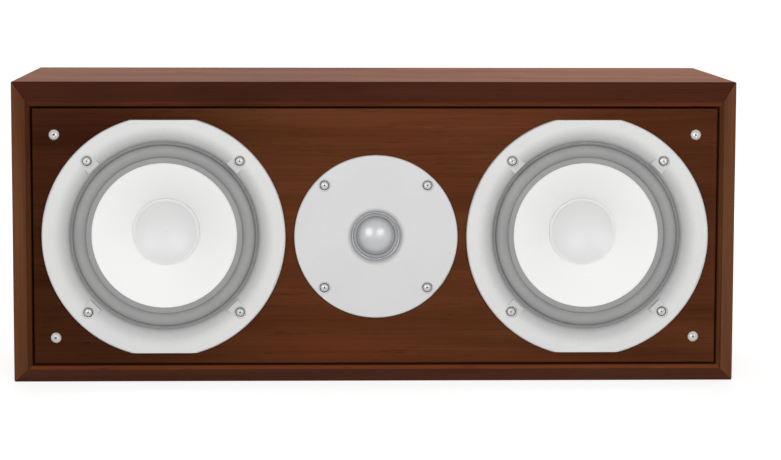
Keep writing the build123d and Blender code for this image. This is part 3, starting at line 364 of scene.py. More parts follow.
# %% Metals
def plated(name, colour, shade, roughness, line=(1.2, 1.2, 1.2), relief=0.01):
    """Metal with a fine worked skin; line is the size of its marks in mm along X, Y and Z."""
    finish, tree, shader, place = start_finish(name, Metallic=1.0)
    spot = add(tree, "ShaderNodeMapping", {"Vector": place, "Scale": cells(*line)})
    marks = add(tree, "ShaderNodeTexNoise", {"Vector": spot, "Scale": 1.0, "Detail": 3.0})
    tone = add(tree, "ShaderNodeMix", {
        FACTOR: marks, COLOUR_A: linear(shade), COLOUR_B: linear(colour)},
        data_type="RGBA").outputs[COLOUR_OUT]
    gloss = add(tree, "ShaderNodeMapRange", {
        "Value": marks, "From Min": 0.3, "From Max": 0.7,
        "To Min": roughness * 0.75, "To Max": roughness * 1.25})
    skin = add(tree, "ShaderNodeBump", {
        "Strength": 0.4, "Distance": relief * MM, "Height": marks})
    end_finish(tree, shader, tone, skin, gloss)
    return finish


metals = {
    # Zinc plate over steel: bright and softly mottled
    "screw_zinc": plated("Bright zinc plate", "#D9D8D6", "#A6A4A1", 0.3),
    # The same plate on stamped steel, duller
    "motor_steel": plated("Dull zinc plate on steel", "#B9BCBE", "#9EA1A4", 0.38, (2.5, 2.5, 2.5)),
    # Gold flash on brass: warm and bright
    "post_brass": plated("Gold flash on brass", "#E3B455", "#C9963A", 0.2),
    # Enamelled copper wire laid in turns, about 0.4 mm apart and drawn 0.8 mm
    "coil_copper": plated(
        "Enamelled copper winding", "#B4622E", "#8A4520", 0.34, (14, 0.8, 14), 0.08),
    # Tinned copper braid: strands drawn 0.5 mm wide
    "lead_braid": plated("Tinned copper braid", "#C3B8A8", "#8F8373", 0.4, (0.5, 0.5, 0.5), 0.1),
}
finishes |= metals
print("metal finishes:", [finish.name for finish in metals.values()])

# %% [markdown]
# ## Round finishes
# The cones are pressed from filled polypropylene with a pale coat, the caps are the same sheet,
# and the tweeter's dome is spun aluminium. Cones and dome carry faint rings about their axis, and
# the caps are smooth. A wave texture draws the rings. Modelled grooves would cost many faces for
# a mark that the eye barely sees.


# %% A ringed finish
def wave_scale(spacing):
    """Scale of a wave texture whose bands are this many mm apart: it repeats every 2 pi / 20."""
    return 2 * math.pi / (20 * spacing * MM)


def ringed(name, colour, shade, roughness, centre, ring, relief, edge=None, **constants):
    """Faint rings about a driver's axis; ring is their spacing in mm and relief their height in mm.
    edge = (from, to, tint) paints shade on the finish towards its rim."""
    finish, tree, shader, place = start_finish(name, **constants)
    drift = add(tree, "ShaderNodeTexNoise", {"Vector": place, "Scale": cells(18)[0], "Detail": 2.0})
    rings = add(tree, "ShaderNodeTexWave", {
        "Vector": axis_place(tree, place, centre), "Scale": wave_scale(ring), "Distortion": 0.6,
        "Detail": 2.0, "Detail Scale": 1.5},
        wave_type="RINGS", rings_direction="Y").outputs["Fac"]
    share = add(tree, MATH, {0: rings, 1: drift}, operation="MULTIPLY")
    sheet = add(tree, "ShaderNodeMix", {
        FACTOR: share, COLOUR_A: linear(colour), COLOUR_B: linear(shade)},
        data_type="RGBA").outputs[COLOUR_OUT]
    # Shade is painted towards the rim
    if edge:
        sheet = toned(tree, sheet, axis_reach(tree, place, centre), *edge)
    gloss = add(tree, "ShaderNodeMapRange", {
        "Value": share, "From Min": 0.0, "From Max": 0.7,
        "To Min": roughness * 0.85, "To Max": roughness * 1.2})
    skin = add(tree, "ShaderNodeBump", {
        "Strength": 0.3, "Distance": relief * MM, "Height": rings})
    end_finish(tree, shader, sheet, skin, gloss)
    return finish


# %% Cones, caps and dome
# Coated polypropylene: milky white, soft shine, drawing rings 2.4 mm apart
finishes["cone_polymer"] = ringed(
    "Coated polypropylene cone", "#F1F1F0", "#EEEEED", 0.5, woofer_centre, 2.4, 0.001)
# The cap is the same sheet, polished by its smaller press: a grey dish with a broad soft highlight
cap_finish = grained(
    "Coated polypropylene cap", "#CDCDCD", "#CACACA", 1.2, 0.0003, 0.36, spread=0.01,
    Specular_IOR_Level=1.0)
# Spun aluminium, clear anodised: silver, turning marks drawn 0.8 mm apart, shade painted towards
# the rim
finishes["dome_metal"] = ringed(
    "Anodised aluminium dome", "#BEBFC1", "#B3B4B7", 0.27, tweeter_centre, 0.8, 0.004,
    edge=(6 * MM, 10 * MM, "#F6F6F6"), Metallic=0.45)
print("round finishes:", finishes["cone_polymer"].name, "/", cap_finish.name, "/",
      finishes["dome_metal"].name)

# %% [markdown]
# ## Spider cloth
# The spider that centres each voice coil is cotton cloth, dipped in resin and pressed. Crossed
# threads give it its look. Two wave patterns at right angles stand for warp and weft. The real
# threads lie about 0.4 mm apart, and here they are drawn 1 mm apart so that they can be seen.

# %% Resin-dipped cotton
THREAD_SPACING = 1.0
THREAD_RELIEF = 0.15 * MM


def dipped_cotton():
    finish, tree, shader, place = start_finish(
        "Resin dipped cotton", Roughness=0.8, Sheen_Weight=0.3)
    warp, weft = [add(tree, "ShaderNodeTexWave", {
        "Vector": place, "Scale": wave_scale(THREAD_SPACING), "Distortion": 0.8},
        bands_direction=direction).outputs["Fac"] for direction in "XZ"]
    weave = add(tree, MATH, {0: warp, 1: weft}, operation="MAXIMUM")
    tone = add(tree, "ShaderNodeMix", {
        FACTOR: weave, COLOUR_A: linear("#8A6A3C"), COLOUR_B: linear("#C49A58")},
        data_type="RGBA").outputs[COLOUR_OUT]
    threads = add(tree, "ShaderNodeBump", {
        "Strength": 0.8, "Distance": THREAD_RELIEF, "Height": weave})
    end_finish(tree, shader, tone, threads)
    return finish


finishes["spider_cloth"] = dipped_cotton()
print("cloth finish:", finishes["spider_cloth"].name)

# %% [markdown]
# ## Dressing the CAD solids
# Each CAD node arrives with one plain material named for its slot. The loop gives it the finish
# for that slot. The cabinet's panels are chosen one by one, because grain runs along the top,
# bottom and front but up the sides, as it does when one sheet of veneer is folded round the box.

# %% Give every node its finish
panel_finish = {
    "top_panel": veneer_top_painted_sheen, "bottom_panel": veneer_long, "rear_panel": veneer_long,
    "left_side_panel": veneer_upright, "right_side_panel": veneer_upright,
    "front_baffle": veneer_front_painted_shade,
    "left_woofer_dust_cap": cap_finish, "right_woofer_dust_cap": cap_finish,
}
for name, node in nodes.items():
    slot = node.material_slots[0].material.name
    node.material_slots[0].material = panel_finish.get(name) or finishes[slot]
print(f"dressed {len(nodes)} nodes")

# %% [markdown]
# ## Geometry Nodes: four helpers
# A tree of Geometry Nodes makes shapes that follow a rule. These helpers open a tree with named
# sizes, end it in Realize Instances and Set Material, and run it on a bare object, whose result
# is then kept as a plain mesh. The sizes are set before the tree first runs.


# %% Open and close a tree
def open_tree(name, sizes):
    tree = bpy.data.node_groups.new(name, "GeometryNodeTree")
    tree.interface.new_socket("Geometry", in_out="INPUT", socket_type="NodeSocketGeometry")
    for label, kind in sizes.items():
        tree.interface.new_socket(label, in_out="INPUT", socket_type="NodeSocket" + kind)
    tree.interface.new_socket("Geometry", in_out="OUTPUT", socket_type="NodeSocketGeometry")
    return tree, add(tree, "NodeGroupInput").outputs


def close_tree(tree, geometry, material):
    real = add(tree, "GeometryNodeRealizeInstances", {"Geometry": geometry})
    painted = add(tree, "GeometryNodeSetMaterial", {"Geometry": real, "Material": material})
    add(tree, "NodeGroupOutput", {"Geometry": painted})
    print(f"{tree.name} tree: {len(tree.nodes)} nodes")


# %% Run a tree
def plain_mesh(piece, crease=None):
    """Keeps what the modifiers make as the piece's own mesh. crease is an angle in degrees."""
    graph = bpy.context.evaluated_depsgraph_get()
    mesh = bpy.data.meshes.new_from_object(piece.evaluated_get(graph))
    piece.modifiers.clear()
    piece.data = mesh
    mesh.name = piece.name
    mesh.polygons.foreach_set("use_smooth", [True] * len(mesh.polygons))
    if crease:
        mesh.set_sharp_from_angle(angle=math.radians(crease))
    return piece


def grow(tree, name, sizes, points=(), wall=0.0, crease=None):
    """Runs a tree on a bare object. points are the places it may use; wall is a Solidify
    thickness."""
    mesh = bpy.data.meshes.new(name)
    mesh.from_pydata(list(points), [], [])
    piece = bpy.data.objects.new(name, mesh)
    modifier = piece.modifiers.new(tree.name, "NODES")
    modifier.node_group = tree
    for item in tree.interface.items_tree:
        if item.in_out == "INPUT" and item.name in sizes:
            modifier[item.identifier] = sizes[item.name]
    if wall:
        thicken = piece.modifiers.new("wall", "SOLIDIFY")
        thicken.thickness = wall
        thicken.offset = 0.0
    bpy.context.scene.collection.objects.link(piece)
    return plain_mesh(piece, crease)


# %% [markdown]
# ## Rolled skins: surrounds, spiders and the dome's edge
# A cone hangs in two flexible rings. The rubber surround is one half roll, and the spider is a
# row of rolls that alternate out and in. Both follow one rule: along the radius, each roll is a
# half circle. A grid is bent by that rule, and Solidify gives it the wall of the real sheet.
# Lathing a drawn profile would also work, but here the number of rolls and their size stay named
# inputs.


# %% The rule of the rolls
def roll_rule(tree, size, t):
    """Radius and depth of a skin at t, which runs from -1 at the inner edge of the lip, through the
    rolls, to Rolls + 1 at the outer edge of the foot."""
    inside = add(tree, "ShaderNodeClamp", {"Value": t, "Min": 0.0, "Max": size["Rolls"]})
    whole = add(tree, MATH, {0: inside}, operation="FLOOR")
    final = add(tree, MATH, {0: size["Rolls"], 1: 1.0}, operation="SUBTRACT")
    roll = add(tree, MATH, {0: whole, 1: final}, operation="MINIMUM")
    share = add(tree, MATH, {0: inside, 1: roll}, operation="SUBTRACT")
    angle = add(tree, MATH, {0: share, 1: math.pi}, operation="MULTIPLY")
    # Radius: the rolls passed so far, the lip before them and the foot after them
    cosine = add(tree, MATH, {0: angle}, operation="COSINE")
    passed = add(tree, MATH, {0: roll, 1: 2.0, 2: 1.0}, operation="MULTIPLY_ADD")
    rolled = add(tree, MATH, {0: passed, 1: cosine}, operation="SUBTRACT")
    reach = add(tree, MATH, {0: rolled, 1: size["Roll Radius"], 2: size["Start Radius"]},
                operation="MULTIPLY_ADD")
    before = add(tree, MATH, {0: t, 1: 0.0}, operation="MINIMUM")
    with_lip = add(tree, MATH, {0: before, 1: size["Lip"], 2: reach}, operation="MULTIPLY_ADD")
    over = add(tree, MATH, {0: t, 1: size["Rolls"]}, operation="SUBTRACT")
    after = add(tree, MATH, {0: over, 1: 0.0}, operation="MAXIMUM")
    radius = add(tree, MATH, {0: after, 1: size["Foot"], 2: with_lip}, operation="MULTIPLY_ADD")
    # Depth: out of the front is -Y, so the first roll, way = -1, bulges outwards
    odd = add(tree, MATH, {0: roll, 1: 2.0}, operation="MODULO")
    way = add(tree, MATH, {0: odd, 1: 2.0, 2: -1.0}, operation="MULTIPLY_ADD")
    sine = add(tree, MATH, {0: angle}, operation="SINE")
    lift = add(tree, MATH, {0: sine, 1: size["Roll Radius"]}, operation="MULTIPLY")
    depth = add(tree, MATH, {0: lift, 1: way}, operation="MULTIPLY")
    return radius, depth


# %% The rolled skin tree
SEAM_GAP = 0.005 * MM


def rolled_skin_tree():
    tree, size = open_tree("Rolled skin", {
        "Start Radius": "Float", "Roll Radius": "Float", "Rolls": "Int", "Lip": "Float",
        "Foot": "Float", "Steps Around": "Int", "Steps Across": "Int", "Centre": "Vector",
        "Material": "Material"})
    sections = add(tree, MATH, {0: size["Rolls"], 1: 2.0}, operation="ADD")
    rows = add(tree, MATH, {0: sections, 1: size["Steps Across"], 2: 1.0},
               operation="MULTIPLY_ADD")
    grid = add(tree, "GeometryNodeMeshGrid", {
        "Size X": 1.0, "Size Y": 1.0, "Vertices X": size["Steps Around"], "Vertices Y": rows})
    spot = add(tree, "ShaderNodeSeparateXYZ", {0: add(tree, "GeometryNodeInputPosition")})
    # The grid is one unit wide: its X is the turn about the axis, and its Y the way across the skin
    turn = add(tree, "ShaderNodeMapRange", {
        "Value": spot.outputs["X"], "From Min": -0.5, "From Max": 0.5,
        "To Min": 0.0, "To Max": 2 * math.pi})
    last = add(tree, MATH, {0: size["Rolls"], 1: 1.0}, operation="ADD")
    t = add(tree, "ShaderNodeMapRange", {
        "Value": spot.outputs["Y"], "From Min": -0.5, "From Max": 0.5,
        "To Min": -1.0, "To Max": last})
    radius, depth = roll_rule(tree, size, t)
    across = add(tree, MATH, {0: turn}, operation="COSINE")
    up = add(tree, MATH, {0: turn}, operation="SINE")
    x = add(tree, MATH, {0: across, 1: radius}, operation="MULTIPLY")
    z = add(tree, MATH, {0: up, 1: radius}, operation="MULTIPLY")
    bent = add(tree, "ShaderNodeCombineXYZ", {"X": x, "Y": depth, "Z": z})
    moved = add(tree, "GeometryNodeSetPosition", {
        "Geometry": grid, "Position": bent, "Offset": size["Centre"]})
    seamed = add(tree, "GeometryNodeMergeByDistance", {"Geometry": moved, "Distance": SEAM_GAP})
    close_tree(tree, seamed, size["Material"])
    return tree


rolled_skin = rolled_skin_tree()

# %% [markdown]
# Each point is laid at its radius on the X axis, the piece's transform is baked, and then each
# point goes back to its place.


# %% Lay a skin's points out and back
def hang(piece, centre):
    places = np.empty(len(piece.data.vertices) * 3, np.float32)
    piece.data.vertices.foreach_get("co", places)
    spots = places.reshape(-1, 3)
    laid = np.zeros_like(spots)
    laid[:, 0] = np.hypot(spots[:, 0] - centre.x, spots[:, 2] - centre.z)
    piece.data.vertices.foreach_set("co", laid.ravel())
    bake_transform(piece)
    piece.data.vertices.foreach_set("co", places)
    piece.data.update()


def roll_skin(node, name, slot, wall, rolls, lip, start, roll_radius, plane, steps):
    """Grows a skin in place of a CAD node. Its first roll starts at radius start, and its rim lies
    in the plane at that Y. steps are the faces around it and across each roll."""
    low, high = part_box(node)
    centre = (low + high) / 2
    outer = (high.z - low.z) / 2
    end = start + 2 * rolls * roll_radius
    piece = grow(rolled_skin, name, {
        "Start Radius": start, "Roll Radius": roll_radius, "Rolls": rolls, "Lip": lip,
        "Foot": outer - end, "Steps Around": steps[0] + 1, "Steps Across": steps[1],
        "Centre": (centre.x, plane, centre.z), "Material": finishes[slot]}, wall=wall)
    hang(piece, centre)
    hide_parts(node)
    print(f"{name}: roll from r {start / MM:.1f} to {end / MM:.1f} mm, "
          f"{len(piece.data.polygons)} faces")


# %% [markdown]
# The surround's roll is as deep as its CAD node, and a lip glues it to the front of the cone. The
# spider has four shallow rolls between a collar on the coil and a foot on the basket's shelf. The
# dome's edge is one small roll of doped silk.

# %% Surrounds and spiders
SURROUND_WALL = 0.8 * MM
SURROUND_LIP = 3.9 * MM
SURROUND_STEPS = (160, 24)
SPIDER_WALL = 0.5 * MM
SPIDER_COLLAR = 2.2 * MM
SPIDER_FOOT = 4.2 * MM
SPIDER_ROLLS = 4
SPIDER_STEPS = (120, 8)

for side in ("left", "right"):
    low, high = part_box(f"{side}_woofer_surround")
    cone_low, cone_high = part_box(f"{side}_woofer_cone")
    roll_skin(f"{side}_woofer_surround", f"{side}_rubber_surround",
              "surround_rubber", SURROUND_WALL, 1, SURROUND_LIP, (cone_high.z - cone_low.z) / 2,
              high.y - low.y - SURROUND_WALL, high.y - SURROUND_WALL / 2, SURROUND_STEPS)
    low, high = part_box(f"{side}_woofer_spider")
    roll_radius = (high.y - low.y - SPIDER_WALL) / 2
    start = (high.z - low.z) / 2 - SPIDER_FOOT - 2 * SPIDER_ROLLS * roll_radius
    roll_skin(f"{side}_woofer_spider", f"{side}_cloth_spider",
              "spider_cloth", SPIDER_WALL, SPIDER_ROLLS, SPIDER_COLLAR, start,
              roll_radius, (low.y + high.y) / 2, SPIDER_STEPS)

# %% The dome's rolled edge
ROLL_WALL = 0.4 * MM
ROLL_STEPS = (120, 12)
GLUE_LINE = 0.1 * MM

low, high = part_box("tweeter_surround")
dome_low, dome_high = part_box("tweeter_dome")
roll_skin("tweeter_surround", "dome_rolled_edge", "dome_roll", ROLL_WALL, 1, 0.0,
          (dome_high.z - dome_low.z) / 2 + GLUE_LINE + ROLL_WALL / 2,
          high.y - low.y - ROLL_WALL, high.y - ROLL_WALL / 2, ROLL_STEPS)

# %% [markdown]
# A thin polished ring presses the outer edge of that roll against the plate. It is half a roll
# itself, so the same tree makes it, and it catches the light as a fine bright circle inside the
# mouth.

# %% The clamping ring
RING_INNER = 15.05 * MM
RING_RADIUS = 0.32 * MM
RING_WALL = 0.1 * MM
RING_STEPS = (120, 6)

# Turned aluminium, polished: a bright silver line
bright_ring = plated("Polished aluminium", "#F4F4F4", "#E2E2E3", 0.3)
clamp_ring = grow(rolled_skin, "dome_clamp_ring", {
    "Start Radius": RING_INNER, "Roll Radius": RING_RADIUS, "Rolls": 1, "Lip": 0.0, "Foot": 0.0,
    "Steps Around": RING_STEPS[0] + 1, "Steps Across": RING_STEPS[1],
    "Centre": (0, high.y - ROLL_WALL, axis_z), "Material": bright_ring}, wall=RING_WALL)
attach(clamp_ring, "cabinet")
print(f"dome_clamp_ring: {len(clamp_ring.data.polygons)} faces")

# %% [markdown]
# ## Woofer leads
# Two limp braids carry the signal from the tags on the basket to the moving cone.

# %% Flexible leads
MERGE_GAP = 0.001 * MM


def merged_copy(node, name):
    """A copy of a CAD node's mesh with its loose triangles joined."""
    mesh = nodes[node].data.copy()
    mesh.name = name
    shell = bmesh.new()
    shell.from_mesh(mesh)
    bmesh.ops.remove_doubles(shell, verts=shell.verts, dist=MERGE_GAP)
    shell.to_mesh(mesh)
    shell.free()
    piece = bpy.data.objects.new(name, mesh)
    bpy.context.scene.collection.objects.link(piece)
    return piece


for side in ("left", "right"):
    leads = merged_copy(f"{side}_woofer_leads", f"{side}_braided_leads")
    low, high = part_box(f"{side}_woofer_leads")
    cone_low, cone_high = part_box(f"{side}_woofer_cone")
    corners = [Vector((x, 0, z)) for x in (low.x, high.x) for z in (low.z, high.z)]
    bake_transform(leads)
    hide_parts(f"{side}_woofer_leads")
    print(f"{leads.name}: {len(leads.data.polygons)} faces")

# %% [markdown]
# ## Screws
# Twenty-four pan-head screws hold the baffle, the drivers, the terminal cup and the crossover.
# They differ only in size, so one tree makes a domed head with a cross recess and a threaded
# shank, and sets one on each point. A fixed seed gives each its own turn of the recess, as a
# screwdriver leaves it.

# %% The screw's head
HEAD_STEPS, HEAD_RINGS = 40, 7
EDGE_FALL, DOME_POWER = 0.65, 2.4
# Length, width and depth of a recess bar, each as a share of one of the head's sizes
BAR_SHARES = (("Head Radius", 1.12), ("Head Radius", 0.27), ("Head Height", 1.2))


def screw_head(tree, size):
    """A disc of rings whose top is raised in a shallow dome, with two crossed bars cut into it."""
    blank = add(tree, "GeometryNodeMeshCylinder", {
        "Vertices": HEAD_STEPS, "Side Segments": 1, "Fill Segments": HEAD_RINGS,
        "Radius": size["Head Radius"], "Depth": size["Head Height"]}, fill_type="TRIANGLE_FAN")
    place = add(tree, "GeometryNodeInputPosition")
    spot = add(tree, "ShaderNodeSeparateXYZ", {0: place}).outputs
    flat = add(tree, "ShaderNodeVectorMath", {0: place, 1: (1, 1, 0)}, operation="MULTIPLY")
    reach = add(tree, "ShaderNodeVectorMath", {0: flat}, operation="LENGTH").outputs["Value"]
    share = add(tree, MATH, {0: reach, 1: size["Head Radius"]}, operation="DIVIDE")
    power = add(tree, MATH, {0: share, 1: DOME_POWER}, operation="POWER")
    fall = add(tree, MATH, {0: power, 1: -EDGE_FALL, 2: 1.0}, operation="MULTIPLY_ADD")
    crown = add(tree, MATH, {0: fall, 1: size["Head Height"]}, operation="MULTIPLY")
    upper = add(tree, MATH, {0: spot["Z"], 1: 0.0}, operation="GREATER_THAN")
    height = add(tree, MATH, {0: upper, 1: crown}, operation="MULTIPLY")
    domed = add(tree, "ShaderNodeCombineXYZ", {"X": spot["X"], "Y": spot["Y"], "Z": height})
    head = add(tree, "GeometryNodeSetPosition", {"Geometry": blank, "Position": domed})

    sides = [add(tree, MATH, {0: size[name], 1: part}, operation="MULTIPLY")
             for name, part in BAR_SHARES]
    bar_size = add(tree, "ShaderNodeCombineXYZ", dict(zip("XYZ", sides)))
    bar = add(tree, "GeometryNodeMeshCube", {"Size": bar_size})
    top = add(tree, "ShaderNodeCombineXYZ", {"Z": size["Head Height"]})
    first = add(tree, "GeometryNodeTransform", {"Geometry": bar, "Translation": top})
    second = add(tree, "GeometryNodeTransform", {
        "Geometry": first, "Rotation": (0, 0, math.pi / 2)})
    cut = add(tree, "GeometryNodeMeshBoolean", {0: head}, operation="DIFFERENCE")
    for cross in (first, second):
        tree.links.new(cross.outputs[0], cut.inputs[1])
    return cut


# %% The screw's shank
SHANK_STEPS, SHANK_ROWS = 20, 72
TIP_LENGTH, TIP_SHARE = 2.0, 0.06


def screw_shank(tree, size):
    """A cylinder whose radius follows a helix and runs to a point. The tip's length is in shank
    radii."""
    rod = add(tree, "GeometryNodeMeshCylinder", {
        "Vertices": SHANK_STEPS, "Side Segments": SHANK_ROWS, "Radius": size["Shank Radius"],
        "Depth": size["Shank Length"]})
    place = add(tree, "GeometryNodeInputPosition")
    spot = add(tree, "ShaderNodeSeparateXYZ", {0: place}).outputs
    half = add(tree, MATH, {0: size["Shank Length"], 1: 0.5}, operation="MULTIPLY")
    down = add(tree, MATH, {0: spot["Z"], 1: half}, operation="SUBTRACT")
    around = add(tree, MATH, {0: spot["Y"], 1: spot["X"]}, operation="ARCTAN2")
    turns = add(tree, MATH, {0: down, 1: size["Pitch"]}, operation="DIVIDE")
    phase = add(tree, MATH, {0: around, 1: 0.5 / math.pi, 2: turns}, operation="MULTIPLY_ADD")
    ridge = add(tree, MATH, {0: phase, 1: 0.5}, operation="PINGPONG")
    groove = add(tree, MATH, {0: ridge, 1: size["Thread Depth"]}, operation="MULTIPLY")
    girth = add(tree, MATH, {0: 1.0, 1: groove}, operation="SUBTRACT")
    from_tip = add(tree, MATH, {0: spot["Z"], 1: half}, operation="ADD")
    tip = add(tree, MATH, {0: from_tip, 1: size["Shank Radius"]}, operation="DIVIDE")
    taper = add(tree, "ShaderNodeMapRange", {
        "Value": tip, "From Min": 0.0, "From Max": TIP_LENGTH, "To Min": TIP_SHARE, "To Max": 1.0})
    scale = add(tree, MATH, {0: girth, 1: taper}, operation="MULTIPLY")
    x, y = [add(tree, MATH, {0: spot[axis], 1: scale}, operation="MULTIPLY") for axis in "XY"]
    threaded = add(tree, "ShaderNodeCombineXYZ", {"X": x, "Y": y, "Z": down})
    return add(tree, "GeometryNodeSetPosition", {"Geometry": rod, "Position": threaded})


# %% The pan screw tree
def pan_screw_tree():
    tree, size = open_tree("Pan screw", {
        "Head Radius": "Float", "Head Height": "Float", "Shank Radius": "Float",
        "Shank Length": "Float", "Pitch": "Float", "Thread Depth": "Float", "Facing": "Rotation",
        "Seed": "Int", "Material": "Material"})
    whole = add(tree, "GeometryNodeJoinGeometry", {0: screw_head(tree, size)})
    tree.links.new(screw_shank(tree, size).outputs[0], whole.inputs[0])
    # One screw on every point, each turned by its own amount about its axis
    seats = add(tree, "GeometryNodeMeshToPoints", {0: size["Geometry"]})
    placed = add(tree, "GeometryNodeInstanceOnPoints", {
        "Points": seats, "Instance": whole, "Rotation": size["Facing"]})
    chance = add(tree, "FunctionNodeRandomValue", {
        2: 0.0, 3: math.pi, "Seed": size["Seed"]}, data_type="FLOAT")
    spin = add(tree, "ShaderNodeCombineXYZ", {"Z": chance.outputs[1]})
    turned = add(tree, "GeometryNodeRotateInstances", {"Instances": placed, "Rotation": spin})
    close_tree(tree, turned, size["Material"])
    return tree


pan_screw = pan_screw_tree()

# %% [markdown]
# The seats come from the frame: a screw circle is as far from its driver's axis as the CAD screws
# reach, less half a head. The front screws face -Y, the cup's face +Y and the board's face up.

# %% Set screws on their seats
FACING_FRONT = (math.pi / 2, 0, 0)
FACING_REAR = (-math.pi / 2, 0, 0)
FACING_UP = (0, 0, 0)
PITCH_SHARE = 0.42
THREAD_DEPTH = 0.5
CREASE = 35
# Diameter and height of the head, diameter and length of the shank, in mm
DRIVER_SCREW = (6.4, 2.0, 4.0, 16.0)
CORNER_SCREW = (6.8, 2.4, 4.4, 34.0)
SMALL_SCREW = (6.0, 1.95, 3.0, 12.0)


def square_of(centre, x, z):
    return [(centre.x + a * x, centre.z + b * z) for a in (-1, 1) for b in (-1, 1)]


def set_screws(name, node, seats, facing, screw, seed):
    """seats are the points where the heads bear."""
    head, height, shank, length = screw
    piece = grow(pan_screw, name, {
        "Head Radius": head / 2 * MM, "Head Height": height * MM, "Shank Radius": shank / 2 * MM,
        "Shank Length": length * MM, "Pitch": PITCH_SHARE * shank * MM,
        "Thread Depth": THREAD_DEPTH, "Facing": facing, "Seed": seed,
        "Material": finishes["screw_zinc"]}, points=seats, crease=CREASE)
    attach(piece, "cabinet")
    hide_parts(node)
    print(f"{name}: {len(seats)} screws, {len(piece.data.polygons)} faces")


# %% Screws of the front
def reach_of(node, screw):
    """Where the axes of a node's outermost screws lie, along X and up from the drivers' axis."""
    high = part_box(node)[1]
    return high.x - screw[0] / 2 * MM, high.z - screw[0] / 2 * MM - axis_z


reach = reach_of("woofer_screws", DRIVER_SCREW)[1]
seat_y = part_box("right_woofer_basket")[0].y + DRIVER_SCREW[1] * MM
seats = [(x, seat_y, z) for side in (-1, 1)
         for x, z in square_of(Vector((side * woofer_centre.x, 0, axis_z)), reach, reach)]
set_screws("woofer_pan_screws", "woofer_screws", seats, FACING_FRONT, DRIVER_SCREW, 3)

reach = reach_of("tweeter_screws", DRIVER_SCREW)[1]
seat_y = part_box("tweeter_faceplate")[0].y + DRIVER_SCREW[1] * MM
seats = [(x, seat_y, z) for x, z in square_of(tweeter_centre, reach, reach)]
set_screws("tweeter_pan_screws", "tweeter_screws", seats, FACING_FRONT, DRIVER_SCREW, 5)

seat_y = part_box("front_baffle")[0].y
seats = [(x, seat_y, z)
         for x, z in square_of(tweeter_centre, *reach_of("baffle_screws", CORNER_SCREW))]
set_screws("corner_pan_screws", "baffle_screws", seats, FACING_FRONT, CORNER_SCREW, 7)

# %% Screws of the cup and the board
CUP_SCREW_INSET = 6.5 * MM
BOARD_HOLE_INSET = 6.0 * MM

cup_low, cup_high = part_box("terminal_cup")
cup_half = (cup_high - cup_low) / 2
seats = [(x, cup_high.y, z) for x, z in square_of(
    (cup_low + cup_high) / 2, cup_half.x - CUP_SCREW_INSET, cup_half.z - CUP_SCREW_INSET)]
set_screws("cup_pan_screws", "small_screws", seats, FACING_REAR, SMALL_SCREW, 11)

board_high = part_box("crossover_board")[1]
hole_x, hole_y = board_high.x - BOARD_HOLE_INSET, board_high.y - BOARD_HOLE_INSET
seats = [(a * hole_x, b * hole_y, board_high.z) for a in (-1, 1) for b in (-1, 1)]
set_screws("board_pan_screws", "small_screws", seats, FACING_UP, SMALL_SCREW, 13)

# %% [markdown]
# ## Wadding
# A pad of polyester down lies against each end wall and quiets the box. It is soft, so it bears
# flat on the wall only, swells in the middle, pulls in along its sides and has a lumpy skin. It
# is hidden inside the closed cabinet, so a cloth simulation would be spent on nothing: a fine
# cube is shaped by a rule.

# %% Shape the wadding pads
PAD_CUTS = 40
PAD_THICKNESS = 22 * MM
EDGE_SHARE = 0.35
LUMP_SIZE = 16 * MM
LUMP_HEIGHT = 2.5 * MM
LUMP_ROW = 7.0
SIDE_PULL = 0.05
low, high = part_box("wadding_pads")
middle = (low + high) / 2
half = (high - low) / 2

pads = bmesh.new()
for side in (-1, 1):
    cube = bmesh.ops.create_cube(pads, size=2.0)["verts"]
    edges = list({e for v in cube for e in v.link_edges})
    before = set(pads.verts) - set(cube)
    bmesh.ops.subdivide_edges(pads, edges=edges, cuts=PAD_CUTS, use_grid_fill=True)
    for v in set(pads.verts) - before:
        a, b, c = v.co
        swell = math.sqrt(max(0.0, (1 - b ** 4) * (1 - c ** 4)))
        crown = EDGE_SHARE + (1 - EDGE_SHARE) * swell
        inward = (1 - side * a) / 2
        y = middle.y + half.y * b * (1 - SIDE_PULL * (1 - c * c))
        z = middle.z + half.z * c * (1 - SIDE_PULL * (1 - b * b))
        lump = noise.noise(Vector((side * LUMP_ROW, y / LUMP_SIZE, z / LUMP_SIZE)))
        thick = PAD_THICKNESS * crown - LUMP_HEIGHT * (0.5 + 0.5 * lump) * crown
        v.co = (side * (half.x - inward * thick), y, z)
bmesh.ops.recalc_face_normals(pads, faces=pads.faces)
print(f"wadding: {len(pads.faces)} faces")

# %% Keep the wadding
pad_mesh = bpy.data.meshes.new("wadding")
pads.to_mesh(pad_mesh)
pads.free()
pad_mesh.materials.append(finishes["wadding"])
pad_mesh.polygons.foreach_set("use_smooth", [True] * len(pad_mesh.polygons))
wadding = bpy.data.objects.new("wadding", pad_mesh)
bpy.context.scene.collection.objects.link(wadding)
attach(wadding, "cabinet")
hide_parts("wadding_pads")
print("wadding box", [[round(v / MM, 1) for v in corner] for corner in (low, high)], "mm")

# %% [markdown]
# ## Floor and sky
# The object stands on a wide pale floor under a dim sky. A floor lit only by the lamps would look
# grey, so its material adds light for rays that the camera, a mirror or glass sees, and keeps the
# object's shadow. The sky is white to the same rays and lights the object only a little. A
# strength of 1 is white.

# %% Floor
FLOOR_SIZE = 40.0
FLOOR_GAP = 0.3 * MM
GLOW_NEAR, GLOW_FAR = 0.81, 1.0
NEAR, FAR = 0.5, 1.6


def seen_ray(tree):
    """1 for a ray that the camera, a mirror or glass sees, and 0 for one that only lights."""
    ray = add(tree, "ShaderNodeLightPath").outputs
    seen = add(tree, MATH, {0: ray["Is Camera Ray"], 1: ray["Is Glossy Ray"]}, operation="MAXIMUM")
    return add(tree, MATH, {0: seen, 1: ray["Is Transmission Ray"]}, operation="MAXIMUM")


